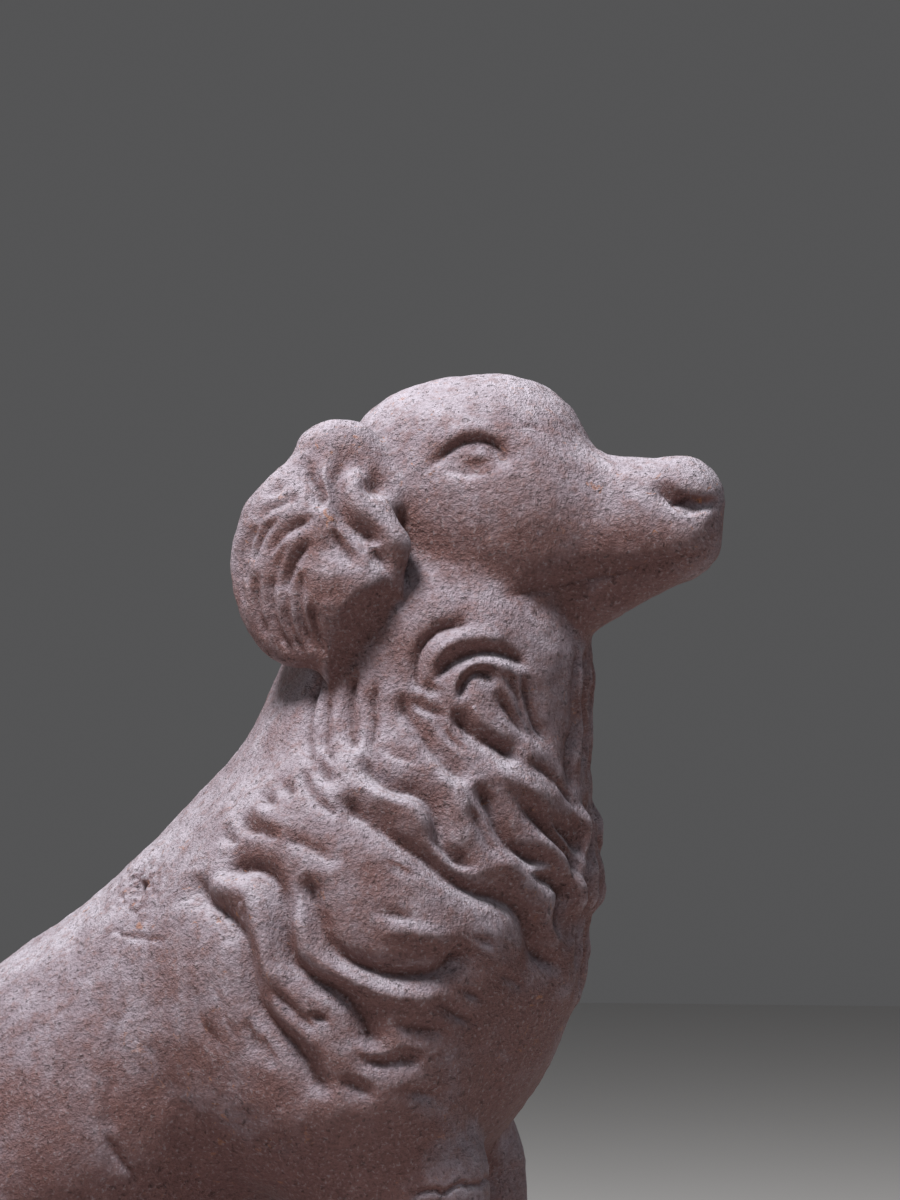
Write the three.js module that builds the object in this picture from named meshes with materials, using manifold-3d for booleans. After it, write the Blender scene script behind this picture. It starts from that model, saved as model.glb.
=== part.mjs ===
// A seated long-haired dog, one hollow iron casting, on a low rectangular iron plinth.
// Millimetres. X runs forward, Z up, and the origin is the middle of the plinth's underside.
// The dog's own measures are in parts, of which its seated height has FIGURE_PARTS.
// They start on the ground under its middle plane, and its two sides are alike but for the head and tail.
import * as THREE from "three";
import { mergeVertices } from "three/addons/utils/BufferGeometryUtils.js";
import Module from "manifold-3d";

// sizes in millimetres
const DOG_HEIGHT = 785;
const PLINTH_HEIGHT = 45;
const PLINTH_MARGIN = 16;
const PLINTH_CORNER = 22;
const PLINTH_BEVEL = 5;

// the figure's own measures, in parts of its height
const FIGURE_PARTS = 785;
const PART = DOG_HEIGHT / FIGURE_PARTS;
const HEAD_AT = [255, 0, 721];
const HEAD_YAW = -6;
const HEAD_SOFT = 12;
const EAR_SOFT = 5;
const TAIL_SOFT = 10;
const FOOT_PARTS = 60;
const FIGURE_MIDDLE = 18;

// how the surface is drawn: the grid's spacing, the depth it reaches below the ground, and its count of faces
const GRID = 5.2;
const GRID_FROM = [-330, -225, -13];
const GRID_TO = [450, 210, 806];
const BLOCK = 4;
const FACES = 9400;

const radians = THREE.MathUtils.degToRad;
const clamp = THREE.MathUtils.clamp;
const step = THREE.MathUtils.smoothstep;
const bell = (off, width) => Math.exp(-((off / width) ** 2));

// Shapes of the figure. An egg has a middle, half lengths and a tilt, nose up, in degrees.
// A bone is a tapered round bar between two ends, and wide stretches it across the dog.
// Each is blended into the ones before it over its softness, or carved out of them.
const HEAD = [
  { name: "skull", egg: [-6, 0, -4], reach: [84, 62, 65.5] },
  { name: "brow", egg: [22, 0, 0], reach: [51, 49, 58.5], soft: 14 },
  { name: "cheek", egg: [0, 24, -40], reach: [72, 42, 54], tilt: 8, soft: 24 },
  { name: "cheek's front", egg: [46, 18, -30], reach: [48, 30, 38], soft: 26 },
  { name: "throat", egg: [20, 0, -72], reach: [62, 46, 40], tilt: 20, soft: 24 },
  { name: "muzzle", bone: [48, 0, -28], to: [134, 0, -25.5], thick: [38, 31], wide: 0.94, soft: 16 },
  { name: "flews", bone: [60, 9, -50], to: [138, 5, -46], thick: [30, 24], wide: 0.95, soft: 14 },
  { name: "jaw", bone: [71, 0, -80], to: [137, 0, -51], thick: [27, 23], wide: 0.9, soft: 12 },
  { name: "nose", egg: [141, 0, -19], reach: [25, 26, 24], tilt: -8, soft: 8 },
  { name: "eye socket", egg: [27, 70, 6], reach: [22, 14, 10], tilt: 6, soft: 12, carved: true },
  { name: "eyeball", egg: [18, 45, 4], reach: [17, 14.5, 8], soft: 3 },
  { name: "nostril", bone: [150, 30, -29], to: [166, 14, -26], thick: [5.5, 4], soft: 3, carved: true },
  { name: "nose wing", bone: [134, 31, -12], to: [151, 30, -28], thick: [3, 4.5], soft: 4, carved: true },
];
const EAR = [
  { name: "ear root", bone: [-68, 58, 4], to: [-42, 60, -22], thick: [26, 21], wide: 0.8 },
  { name: "ear's upper part", bone: [-74, 68, 2], to: [-88, 82, -46], thick: [24, 40], wide: 0.55, soft: 14 },
  { name: "ear lobe", egg: [-78, 83, -62], reach: [58, 23, 62], tilt: 6, soft: 12 },
  { name: "ear's back", egg: [-86, 86, -82], reach: [43, 20, 50], soft: 8 },
  { name: "ear's point", bone: [-66, 87, -92], to: [-60, 87, -138], thick: [42, 11], wide: 0.5, soft: 8 },
];
// the flat face cut across the ear's lower front edge: its direction and its distance out
const EAR_BEVEL = { way: [0.66, 0.6, -0.45], out: 71, soft: 2 };
const BODY = [
  { name: "neck", bone: [257, 0, 590], to: [237, 0, 470], thick: [76, 90] },
  { name: "nape", bone: [212, 0, 610], to: [184, 0, 500], thick: [71, 90], soft: 50 },
  { name: "ruff", egg: [212, 0, 450], reach: [112, 111, 128], tilt: 6, soft: 40 },
  { name: "chest", egg: [175, 0, 378], reach: [130, 124, 134], tilt: -32, soft: 46 },
  { name: "ribs", bone: [140, 0, 408], to: [8, 0, 302], thick: [116, 114], wide: 1.02, soft: 40 },
  { name: "loin", bone: [8, 0, 302], to: [-82, 0, 236], thick: [112, 106], wide: 1.02, soft: 30 },
  { name: "rump", bone: [-84, 0, 232], to: [-134, 0, 105], thick: [106, 96], wide: 1.08, soft: 40 },
  { name: "shoulder", egg: [180, 84, 400], reach: [84, 52, 130], tilt: -12, soft: 40 },
  { name: "upper arm", bone: [190, 76, 330], to: [208, 64, 275], thick: [66, 56], wide: 0.9, soft: 26 },
];
const FORELEG = [
  { name: "forearm", bone: [226, 60, 265], to: [242, 58, 85], thick: [51, 35], wide: 0.86 },
  { name: "feather", bone: [210, 60, 250], to: [210, 58, 120], thick: [34, 20], wide: 0.7, soft: 14 },
  { name: "pastern", bone: [242, 58, 90], to: [250, 58, 35], thick: [35, 37], wide: 0.95, soft: 12 },
  { name: "forepaw", bone: [256, 58, 28], to: [294, 60, 22], thick: [35, 29], wide: 1.2, soft: 12 },
];
const HAUNCH = [
  { name: "thigh", egg: [-95, 88, 160], reach: [118, 62, 108], tilt: 30 },
  { name: "knee", bone: [-80, 102, 155], to: [-12, 110, 160], thick: [66, 46], wide: 0.8, soft: 40 },
  { name: "shank", bone: [-12, 108, 150], to: [-160, 104, 45], thick: [42, 34], wide: 0.8, soft: 24 },
];
const HINDFOOT = [
  { name: "hock", bone: [-160, 104, 32], to: [0, 112, 26], thick: [33, 29] },
  { name: "hindpaw", bone: [0, 112, 26], to: [48, 114, 21], thick: [32, 28], wide: 1.25, soft: 12 },
];
const LEG_SOFT = 12;
const HAUNCH_SOFT = 16;

// The tail lies on the plinth and sweeps round the dog's right haunch.
const TAIL = { middle: [-150, -55], reach: [95, 95], from: 150, sweep: 155, joints: 10, soft: 12 };
const TAIL_THICK = { root: 34, swell: 8, taper: 26 };
const TAIL_LIFT = { root: 70, drop: 40, quick: 2.2, sink: 8 };

// The ruff's hair is carved over the neck, which is unrolled on this radius about a leaning axis.
const GIRTH = 115;
const AXIS = { across: 150, lean: 0.425, about: 400, low: 250, high: 640 };
const HAIR_LOW = 262;
const HAIR_HIGH = 640;
const FACE_LOW = 600;
const EAR_LOW = 560;
const NUDGE = 0.5;
const EVEN_ROUNDS = 1;
const EVEN_SHARE = 0.45;
// Lines carved over the surface. Each is smooth through its points, and is a valley or, with a rise, a ridge.
// The neck's points are how far round it and how high they lie, the front's the same from its own side.
const NECK_LINES = [
  {
    depth: 9,
    width: 5.4,
    line: [
      [194, 513], [204, 502], [216, 493], [228, 483], [241, 472], [252, 460], [264, 451],
      [277, 446], [287, 438], [291, 424], [292, 412], [303, 398],
    ],
  },
  {
    depth: 8,
    width: 4.8,
    line: [
      [203, 537], [215, 525], [228, 517], [242, 514], [250, 507], [253, 495], [253, 482],
      [260, 471], [271, 462],
    ],
  },
  {
    depth: 7.2,
    width: 4,
    line: [
      [280, 518], [286, 505], [289, 491], [294, 478], [304, 470], [316, 470],
    ],
  },
  {
    depth: 5.6,
    width: 3.4,
    line: [
      [305, 508], [313, 497], [320, 487], [328, 477], [332, 465], [333, 450],
    ],
  },
  { depth: 6.4, width: 3.4, line: [[322, 496], [334, 487], [342, 474], [346, 458], [344, 436]] },
  { depth: 7.2, width: 3.6, line: [[296, 461], [309, 457], [317, 448], [312, 434], [307, 418]] },
  {
    depth: 9,
    width: 5,
    line: [
      [124, 462], [133, 466], [144, 467], [155, 462], [161, 451], [163, 438], [163, 425],
      [165, 411], [171, 402], [180, 395], [188, 388], [194, 378], [197, 366], [197, 350],
    ],
  },
  {
    depth: 7.5,
    width: 4.6,
    line: [
      [103, 462], [112, 447], [125, 438], [136, 428], [141, 416], [143, 402], [144, 389],
      [147, 378], [154, 367], [161, 357], [166, 347], [170, 336], [175, 322],
    ],
  },
  {
    depth: 7.5,
    width: 4.6,
    line: [
      [175, 463], [180, 447], [182, 434], [185, 422], [191, 412], [200, 405], [212, 400],
      [225, 399], [236, 402], [245, 411], [250, 422],
    ],
  },
  { depth: 4.1, width: 3, line: [[228, 386], [235, 378], [244, 371], [252, 369]] },
  { depth: 3.6, width: 2.6, line: [[240, 393], [249, 387], [257, 382]] },
  { depth: 4.1, width: 3, line: [[168, 379], [176, 373], [185, 369]] },
  { depth: 4.8, width: 4, line: [[188, 354], [198, 346], [210, 347], [222, 352]] },
  { depth: 3.9, width: 4, line: [[206, 371], [220, 366], [236, 366]] },
  { depth: 4.1, width: 4, line: [[178, 342], [186, 331], [196, 322]] },
  { depth: 3.6, width: 3.4, line: [[204, 332], [214, 326], [226, 324]] },
  { depth: 5.6, width: 4.5, line: [[222, 574], [234, 560], [248, 546], [263, 530], [278, 518]] },
  { depth: 4.8, width: 3.4, line: [[170, 541], [177, 530], [187, 521], [193, 524]] },
  { depth: 4, width: 2.7, line: [[162, 530], [170, 519], [178, 510], [187, 503], [198, 494]] },
  { depth: 3.6, width: 2.6, line: [[145, 521], [157, 516], [170, 510]] },
  { depth: 3.6, width: 2.6, line: [[136, 512], [146, 508], [157, 503]] },
  { depth: 4.4, width: 2.6, line: [[126, 499], [137, 491], [151, 487], [163, 482]] },
  { depth: 3.4, width: 2.6, line: [[163, 482], [175, 480], [186, 474], [194, 466]] },
  { depth: 3.8, width: 2.6, line: [[114, 494], [120, 486], [128, 482], [137, 481]] },
  { depth: 2.6, width: 2.6, line: [[205, 437], [218, 437], [233, 431]] },
  { depth: 2.7, width: 2.3, line: [[253, 424], [262, 419], [268, 413]] },
  { depth: 3.4, width: 2.6, line: [[154, 396], [158, 386], [166, 376], [176, 362]] },
  { depth: 3.4, width: 2.6, line: [[137, 378], [141, 363], [147, 345]] },
  { depth: 3.2, width: 2.6, line: [[145, 370], [148, 356], [155, 338]] },
  { depth: 3, width: 2.6, line: [[113, 374], [119, 360], [124, 349]] },
  { depth: 3.6, width: 3, line: [[150, 588], [146, 570], [151, 552], [164, 537], [176, 527]] },
  { depth: 3.8, width: 3, line: [[168, 590], [163, 572], [167, 554], [178, 538], [190, 528]] },
  { depth: 4.8, width: 3.4, line: [[184, 590], [181, 574], [188, 556], [196, 545], [203, 537]] },
  { depth: 4, width: 3, line: [[204, 584], [203, 570], [208, 556], [211, 540], [218, 530], [227, 524]] },
  {
    depth: 4.8,
    width: 3.4,
    line: [
      [252, 580], [260, 589], [270, 595], [284, 599], [300, 600], [319, 597], [333, 590],
    ],
  },
  { depth: 4.8, width: 3, line: [[275, 566], [277, 579], [286, 587], [297, 585], [302, 577]] },
  { depth: 6.4, width: 4.4, line: [[268, 566], [276, 556], [288, 547], [302, 540], [314, 530]] },
  { depth: 4.8, width: 3, line: [[302, 577], [310, 566], [318, 556], [328, 544]] },
  { depth: 4.8, width: 3, line: [[326, 588], [329, 572], [334, 556], [342, 540]] },
  { depth: 3.2, width: 2.6, line: [[318, 532], [330, 526], [342, 514], [350, 498]] },
  { rise: 3.4, width: 5, line: [[270, 566], [273, 582], [282, 590], [297, 594], [311, 591], [321, 582]] },
  { rise: 3, width: 5.5, line: [[284, 570], [292, 558], [304, 548], [316, 540]] },
  { rise: 3.4, width: 7, line: [[224, 562], [240, 545], [258, 526], [266, 508], [268, 490]] },
  { rise: 4, width: 6, line: [[206, 520], [220, 510], [236, 504], [244, 494], [246, 482]] },
  { rise: 4.6, width: 7, line: [[288, 534], [300, 522], [316, 514], [326, 500]] },
  { rise: 3.4, width: 6, line: [[280, 482], [288, 468], [300, 464]] },
  { rise: 4, width: 5, line: [[304, 489], [314, 480], [322, 468], [326, 452], [322, 432]] },
  {
    rise: 4,
    width: 7,
    line: [
      [112, 455], [128, 452], [142, 450], [150, 438], [153, 420], [154, 404], [160, 388],
    ],
  },
  {
    rise: 4,
    width: 6,
    line: [
      [168, 446], [172, 430], [174, 416], [182, 404], [196, 396], [212, 388], [226, 388],
      [238, 393],
    ],
  },
  { rise: 4, width: 7, line: [[206, 425], [220, 428], [236, 424], [250, 418]] },
  { rise: 2.9, width: 5, line: [[172, 388], [182, 381], [188, 374]] },
  { rise: 2.9, width: 4, line: [[150, 388], [158, 374], [168, 362], [176, 348]] },
  { rise: 2.9, width: 5, line: [[132, 508], [144, 500], [158, 494], [174, 490]] },
  {
    depth: 4.5,
    width: 3.4,
    line: [
      [244, 574], [236, 588], [238, 602], [248, 612], [264, 617], [284, 619],
    ],
  },
  { rise: 3.2, width: 5, line: [[248, 588], [258, 602], [274, 608], [296, 609], [318, 605]] },
  { depth: 3.8, width: 3, line: [[230, 574], [242, 567], [256, 562], [270, 558]] },
  { depth: 3.2, width: 2.8, line: [[236, 584], [248, 578], [262, 573]] },
  { depth: 3, width: 3, line: [[252, 570], [258, 558], [270, 544], [284, 534]] },
  { depth: 3, width: 2.8, line: [[310, 590], [320, 574], [326, 556], [336, 538]] },
  { depth: 3, width: 3, line: [[268, 506], [276, 494], [280, 480], [288, 466]] },
  { depth: 2.6, width: 3, line: [[212, 546], [224, 538], [236, 534], [246, 526]] },
  { depth: 2.6, width: 2.8, line: [[214, 474], [226, 466], [240, 456]] },
  { depth: 2.4, width: 2.6, line: [[262, 402], [272, 396], [280, 386]] },
  { depth: 2.4, width: 2.6, line: [[150, 452], [153, 438], [154, 424]] },
];
const FRONT_LINES = [
  { depth: 3.4, width: 4, line: [[154, 606], [148, 580], [155, 556], [149, 534], [156, 510]] },
  { depth: 3.4, width: 4, line: [[150, 500], [158, 480], [150, 456], [158, 430], [154, 408]] },
  { depth: 4, width: 4, line: [[170, 606], [164, 578], [172, 550], [165, 524]] },
  { depth: 4.5, width: 4, line: [[166, 512], [172, 488], [164, 462], [170, 432], [166, 396]] },
  { depth: 4, width: 4, line: [[184, 600], [179, 572], [185, 546], [178, 520]] },
  { depth: 4.5, width: 4, line: [[184, 506], [178, 478], [184, 446], [180, 410], [184, 380]] },
  { rise: 3, width: 8, line: [[160, 598], [157, 572], [163, 548], [157, 524]] },
  { rise: 3, width: 8, line: [[177, 600], [172, 574], [178, 548], [173, 522]] },
  { rise: 6.5, width: 8, line: [[158, 508], [165, 482], [157, 456], [164, 430]] },
  { rise: 6.5, width: 8, line: [[175, 506], [179, 480], [172, 456], [178, 430]] },
  { rise: 3.5, width: 8, line: [[160, 424], [164, 400], [160, 372]] },
  { rise: 3.5, width: 8, line: [[176, 424], [174, 400], [177, 366]] },
];
// The ear's and the face's points are along and above the head's own middle.
const EAR_LINES = [
  {
    depth: 9,
    width: 5.1,
    line: [
      [-58, 8], [-62, -5], [-61, -15], [-60, -25], [-54, -36], [-47, -43], [-38, -49], [-29, -55],
    ],
  },
  { depth: 5.2, width: 3.3, line: [[-60, -38], [-58, -48], [-53, -56], [-48, -64], [-43, -71]] },
  { depth: 4.5, width: 3.1, line: [[-39, -51], [-34, -59], [-28, -67], [-25, -76]] },
  { depth: 6.8, width: 4.4, line: [[-86, 6], [-80, -5], [-73, -15], [-68, -25], [-65, -35]] },
  { depth: 2.7, width: 2.5, line: [[-79, -23], [-91, -25], [-104, -30], [-116, -38]] },
  { depth: 3.6, width: 2.6, line: [[-70, -32], [-79, -39], [-88, -44], [-97, -52], [-104, -64]] },
  { depth: 4.5, width: 3.1, line: [[-70, -50], [-78, -56], [-84, -64], [-89, -74], [-92, -88]] },
  { depth: 3.3, width: 2.5, line: [[-94, -34], [-104, -42], [-112, -54], [-116, -68]] },
  { depth: 4.2, width: 2.7, line: [[-78, -66], [-81, -78], [-82, -92], [-80, -108], [-74, -124]] },
  { depth: 4, width: 2.7, line: [[-98, -66], [-101, -80], [-101, -96], [-96, -112], [-86, -126]] },
  { depth: 3.3, width: 2.5, line: [[-110, -70], [-113, -84], [-111, -100], [-104, -114]] },
  { depth: 3.8, width: 2.7, line: [[-90, -84], [-91, -98], [-88, -112], [-80, -127]] },
  { depth: 3, width: 2.5, line: [[-122, -44], [-126, -60], [-125, -78], [-120, -94]] },
  { depth: 3.8, width: 2.7, line: [[-72, -86], [-73, -100], [-71, -114], [-66, -128]] },
  {
    rise: 4,
    width: 5,
    line: [
      [-56, -2], [-52, -16], [-45, -28], [-35, -38], [-25, -48], [-16, -60], [-13, -74],
    ],
  },
  { rise: 2.5, width: 4, line: [[-68, 4], [-70, -8], [-64, -22], [-63, -34], [-58, -44]] },
  { rise: 3.5, width: 15, line: [[-66, -56], [-61, -72], [-57, -88]] },
  { rise: 2, width: 5, line: [[-82, -44], [-91, -54], [-96, -68]] },
  { depth: 7.5, width: 5.5, line: [[-44, -4], [-40, -10], [-38, -18], [-33, -26]] },
  { depth: 2.8, width: 2.4, line: [[-84, -46], [-93, -58], [-98, -74], [-99, -90]] },
  { depth: 2.8, width: 2.4, line: [[-108, -36], [-118, -50], [-121, -66], [-119, -84]] },
  { depth: 2.6, width: 2.4, line: [[-87, -62], [-91, -76], [-91, -90], [-85, -108]] },
  { depth: 2.6, width: 2.4, line: [[-104, -86], [-103, -100], [-96, -114]] },
  { depth: 2.6, width: 2.4, line: [[-90, -10], [-98, -16], [-110, -22]] },
];
const FACE_LINES = [
  {
    depth: 3.8,
    width: 2.8,
    line: [
      [-13, -4], [-4, 3], [4, 11], [11, 15.5], [18, 17], [26, 15], [32, 10], [38, 3], [44, -4],
    ],
  },
  { depth: 3.2, width: 3, line: [[32, 11], [38, 5], [43, -2]] },
  { rise: 2.2, width: 4.2, line: [[-8, 8], [2, 18], [14, 24], [26, 23], [37, 15]] },
  { depth: 1.4, width: 2, line: [[-6, -2], [5, -5.5], [18, -6], [30, -5], [40, -3]] },
  {
    depth: 6.5,
    width: 3.4,
    line: [
      [128, -12], [132, -18], [139, -24], [147, -26.5], [155, -26], [161, -23],
    ],
  },
  {
    depth: 1.7,
    width: 2.6,
    line: [
      [34, -89], [42, -85], [60, -80], [80, -75], [100, -70.5], [120, -66], [140, -62], [160, -58],
    ],
  },
  { depth: 2.5, width: 9, line: [[52, 34], [54, 42]] },
];
// How round a valley's bottom is and how far its sides swell, in its widths, and how lines run out at their ends.
const STROKE = { deep: 1.3, round: 0.55, swell: 1.35, spacing: 2.5, taper: 14, ridgeTaper: 16 };
// Lines finer than this stay out, and the others are drawn at least this wide, on maps of this cell.
const FINEST_LINE = 2.7;
const LEAST_WIDTH = 5.6;
const CELL = 2;
const TOES = [
  { middle: 59, front: 268, gap: 15 },
  { middle: 113, front: 22, gap: 15 },
];
const TOE_GROOVE = { depth: 4.5, width: 3.4, high: 70 };

// the soft union of two distances, and the soft removal of one from the other
function blend(a, b, soft) {
  const near = Math.max(soft - Math.abs(a - b), 0);
  return Math.min(a, b) - (soft ? (near * near) / (4 * soft) : 0);
}
const carve = (a, b, soft) => -blend(-a, b, soft);

// Turns one row of a shape list into its distance function.
function distanceOf({ egg, bone, reach, to, thick, tilt = 0, wide = 1 }) {
  if (egg) {
    const sine = Math.sin(radians(tilt));
    const cosine = Math.cos(radians(tilt));
    const [a, b, c] = reach;
    return (px, py, pz) => {
      const dx = px - egg[0];
      const dz = pz - egg[2];
      const x = dx * cosine + dz * sine;
      const y = py - egg[1];
      const z = dz * cosine - dx * sine;
      const whole = Math.hypot(x / a, y / b, z / c);
      const fall = Math.hypot(x / a ** 2, y / b ** 2, z / c ** 2);
      return (whole * (whole - 1)) / Math.max(fall, 1e-9);
    };
  }
  const run = [to[0] - bone[0], (to[1] - bone[1]) / wide, to[2] - bone[2]];
  const square = run[0] ** 2 + run[1] ** 2 + run[2] ** 2;
  return (px, py, pz) => {
    const x = px - bone[0];
    const y = (py - bone[1]) / wide;
    const z = pz - bone[2];
    const t = clamp((x * run[0] + y * run[1] + z * run[2]) / square, 0, 1);
    const off = Math.hypot(x - t * run[0], y - t * run[1], z - t * run[2]);
    return off - (thick[0] + t * (thick[1] - thick[0]));
  };
}

// Blends and carves a whole list of shapes, first to last.
function together(rows) {
  const steps = rows.map((row) => ({ distance: distanceOf(row), soft: row.soft, carved: row.carved }));
  return (x, y, z) => {
    let all = steps[0].distance(x, y, z);
    for (let i = 1; i < steps.length; i++) {
      const one = steps[i].distance(x, y, z);
      all = steps[i].carved ? carve(all, one, steps[i].soft) : blend(all, one, steps[i].soft);
    }
    return all;
  };
}

function tailShapes() {
  const joint = (i) => {
    const t = i / TAIL.joints;
    const turn = radians(TAIL.from + TAIL.sweep * t);
    const swell = Math.sin(Math.PI * t) * TAIL_THICK.swell;
    return {
      at: [
        TAIL.middle[0] + TAIL.reach[0] * Math.cos(turn),
        TAIL.middle[1] + TAIL.reach[1] * Math.sin(turn),
        TAIL_LIFT.root - TAIL_LIFT.drop * Math.min(t * TAIL_LIFT.quick, 1) - TAIL_LIFT.sink * t,
      ],
      thick: TAIL_THICK.root + swell - TAIL_THICK.taper * t ** 3,
    };
  };
  return Array.from({ length: TAIL.joints }, (_, i) => {
    const a = joint(i);
    const b = joint(i + 1);
    return { name: "tail", bone: a.at, to: b.at, thick: [a.thick, b.thick], soft: TAIL.soft };
  });
}

const headShape = together(HEAD);
const earShape = together(EAR);
const trunkShape = together(BODY);
const forelegShape = together(FORELEG);
const haunchShape = together(HAUNCH);
const hindfootShape = together(HINDFOOT);
const tailShape = together(tailShapes());

function bodyShape(x, y, z) {
  let all = blend(trunkShape(x, y, z), forelegShape(x, y, z), LEG_SOFT);
  all = blend(all, haunchShape(x, y, z), HAUNCH_SOFT);
  return blend(all, hindfootShape(x, y, z), LEG_SOFT);
}

function earWithBevel(x, y, z) {
  const { way, out, soft } = EAR_BEVEL;
  const beyond = way[0] * x + way[1] * y + way[2] * z - out;
  return carve(earShape(x, y, z), -beyond, soft);
}

// A smooth line through the points, as short straight pieces.
function smoothLine(points) {
  const ends = [points[0], ...points, points.at(-1)];
  const line = [points[0]];
  for (let i = 1; i < points.length; i++) {
    const four = ends.slice(i - 1, i + 3);
    const pieces = Math.max(Math.round(Math.hypot(four[2][0] - four[1][0], four[2][1] - four[1][1]) / STROKE.spacing), 1);
    for (let k = 1; k <= pieces; k++) {
      const t = k / pieces;
      const shares = [
        (t * (2 * t - t * t - 1)) / 2,
        (t * t * (3 * t - 5) + 2) / 2,
        (t * (t * (4 - 3 * t) + 1)) / 2,
        (t * t * (t - 1)) / 2,
      ];
      line.push([0, 1].map((axis) => shares.reduce((sum, share, j) => sum + share * four[j][axis], 0)));
    }
  }
  return line;
}

// A flat map of heights with all the lines drawn on it, as a function of the place.
function reliefOf(rows, low, high) {
  const wide = Math.ceil((high[0] - low[0]) / CELL) + 1;
  const tall = Math.ceil((high[1] - low[1]) / CELL) + 1;
  const valley = new Float32Array(wide * tall);
  const ridge = new Float32Array(wide * tall);
  for (const { depth, rise, width: fine, line: points } of rows) {
    if (fine < FINEST_LINE) continue;
    const width = Math.max(fine, LEAST_WIDTH);
    const line = smoothLine(points);
    const runs = line.slice(1).map((end, i) => Math.hypot(end[0] - line[i][0], end[1] - line[i][1]));
    const whole = runs.reduce((sum, run) => sum + run, 0);
    const reach = 4 * STROKE.swell * width;
    const off = new Float32Array(wide * tall).fill(Infinity);
    const left = new Float32Array(wide * tall);
    let gone = 0;
    runs.forEach((run, i) => {
      const [ax, ay] = line[i];
      const [bx, by] = line[i + 1];
      const from = (a, b, start) => Math.max(Math.floor((Math.min(a, b) - reach - start) / CELL), 0);
      const until = (a, b, start, most) => Math.min(Math.ceil((Math.max(a, b) + reach - start) / CELL) + 1, most);
      for (let u = from(ay, by, low[1]); u < until(ay, by, low[1], tall); u++)
        for (let a = from(ax, bx, low[0]); a < until(ax, bx, low[0], wide); a++) {
          const dx = low[0] + a * CELL - ax;
          const dy = low[1] + u * CELL - ay;
          const t = clamp((dx * (bx - ax) + dy * (by - ay)) / run, 0, run);
          const away = Math.hypot(dx - (t * (bx - ax)) / run, dy - (t * (by - ay)) / run);
          const cell = u * wide + a;
          if (away >= off[cell]) continue;
          off[cell] = away;
          left[cell] = Math.min(gone + t, whole - gone - t);
        }
      gone += run;
    });
    for (let i = 0; i < off.length; i++) {
      if (off[i] === Infinity) continue;
      const share = off[i] / width;
      if (rise) {
        ridge[i] = Math.max(ridge[i], rise * Math.exp(-share * share) * step(left[i], 0, STROKE.ridgeTaper));
      } else {
        const cut = Math.exp(-(Math.hypot(share, STROKE.round) - STROKE.round) / STROKE.swell);
        valley[i] = Math.max(valley[i], STROKE.deep * depth * cut * step(left[i], -2, STROKE.taper));
      }
    }
  }
  return (across, up) => {
    const a = clamp((across - low[0]) / CELL, 0, wide - 1.001);
    const u = clamp((up - low[1]) / CELL, 0, tall - 1.001);
    const i = Math.floor(a);
    const j = Math.floor(u);
    const height = (k) => ridge[k] - valley[k];
    const under = height(j * wide + i) * (1 - a + i) + height(j * wide + i + 1) * (a - i);
    const over = height((j + 1) * wide + i) * (1 - a + i) + height((j + 1) * wide + i + 1) * (a - i);
    return under * (1 - u + j) + over * (u - j);
  };
}

const neckRelief = reliefOf(NECK_LINES, [60, 250], [400, 640]);
const frontRelief = reliefOf(FRONT_LINES, [100, 330], [220, 640]);
const earRelief = reliefOf(EAR_LINES, [-150, -160], [10, 50]);
const faceRelief = reliefOf(FACE_LINES, [-40, -120], [190, 70]);

// The neck is unrolled about a leaning axis. Its hair and the hair down its front meet a little to the side.
function hair(x, y, z) {
  const axis = AXIS.across + AXIS.lean * (clamp(z, AXIS.low, AXIS.high) - AXIS.about);
  const turn = GIRTH * (Math.PI / 2 - Math.atan2(Math.abs(y), x - axis));
  let height = neckRelief(axis + turn, z) * step(-turn, -166, -150);
  height += frontRelief(turn, z) * step(turn, 138, 152);
  return height * step(z, HAIR_LOW, HAIR_LOW + 38) * step(HAIR_HIGH - z, 0, 16);
}

const faceCarving = (x, y, z) => faceRelief(x, z) * step(y, 8, 22);
const earCarving = (x, y, z) => earRelief(x, z) * step(y, 60, 76);

function toeCarving(x, y, z) {
  let height = 0;
  for (const { middle, front, gap } of TOES)
    for (const side of [-1, 0, 1])
      height -= TOE_GROOVE.depth * bell(y - middle - side * gap, TOE_GROOVE.width) * step(x, front, front + 18);
  return height * step(TOE_GROOVE.high - z, 0, 20);
}

// Where a point lies from the head's own middle, with both its sides alike.
const yawSine = Math.sin(radians(HEAD_YAW));
const yawCosine = Math.cos(radians(HEAD_YAW));
function headPlace(x, y, z) {
  const dx = x - HEAD_AT[0];
  const dy = y - HEAD_AT[1];
  return [dx * yawCosine + dy * yawSine, Math.abs(dy * yawCosine - dx * yawSine), z - HEAD_AT[2]];
}

// The distance from the figure's surface before it is carved, in parts. Negative is inside.
function figure(x, y, z) {
  const place = headPlace(x, y, z);
  let all = blend(bodyShape(x, Math.abs(y), z), headShape(...place), HEAD_SOFT);
  all = blend(all, earWithBevel(...place), EAR_SOFT);
  return blend(all, tailShape(x, y, z), TAIL_SOFT);
}

// How far the carving stands over the figure's surface, or under it.
function carvedHeight(x, y, z) {
  const place = headPlace(x, y, z);
  const head = headShape(...place);
  const ear = earWithBevel(...place);
  let height = hair(x, y, z) * step(Math.min(head, ear), 0, 8);
  if (z > FACE_LOW) height += faceCarving(...place) * step(ear, 0, 8) * step(z, FACE_LOW, FACE_LOW + 25);
  if (z > EAR_LOW) height += earCarving(...place) * step(-ear, -7, -3);
  if (z < TOE_GROOVE.high) height += toeCarving(x, Math.abs(y), z);
  return height;
}

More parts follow.
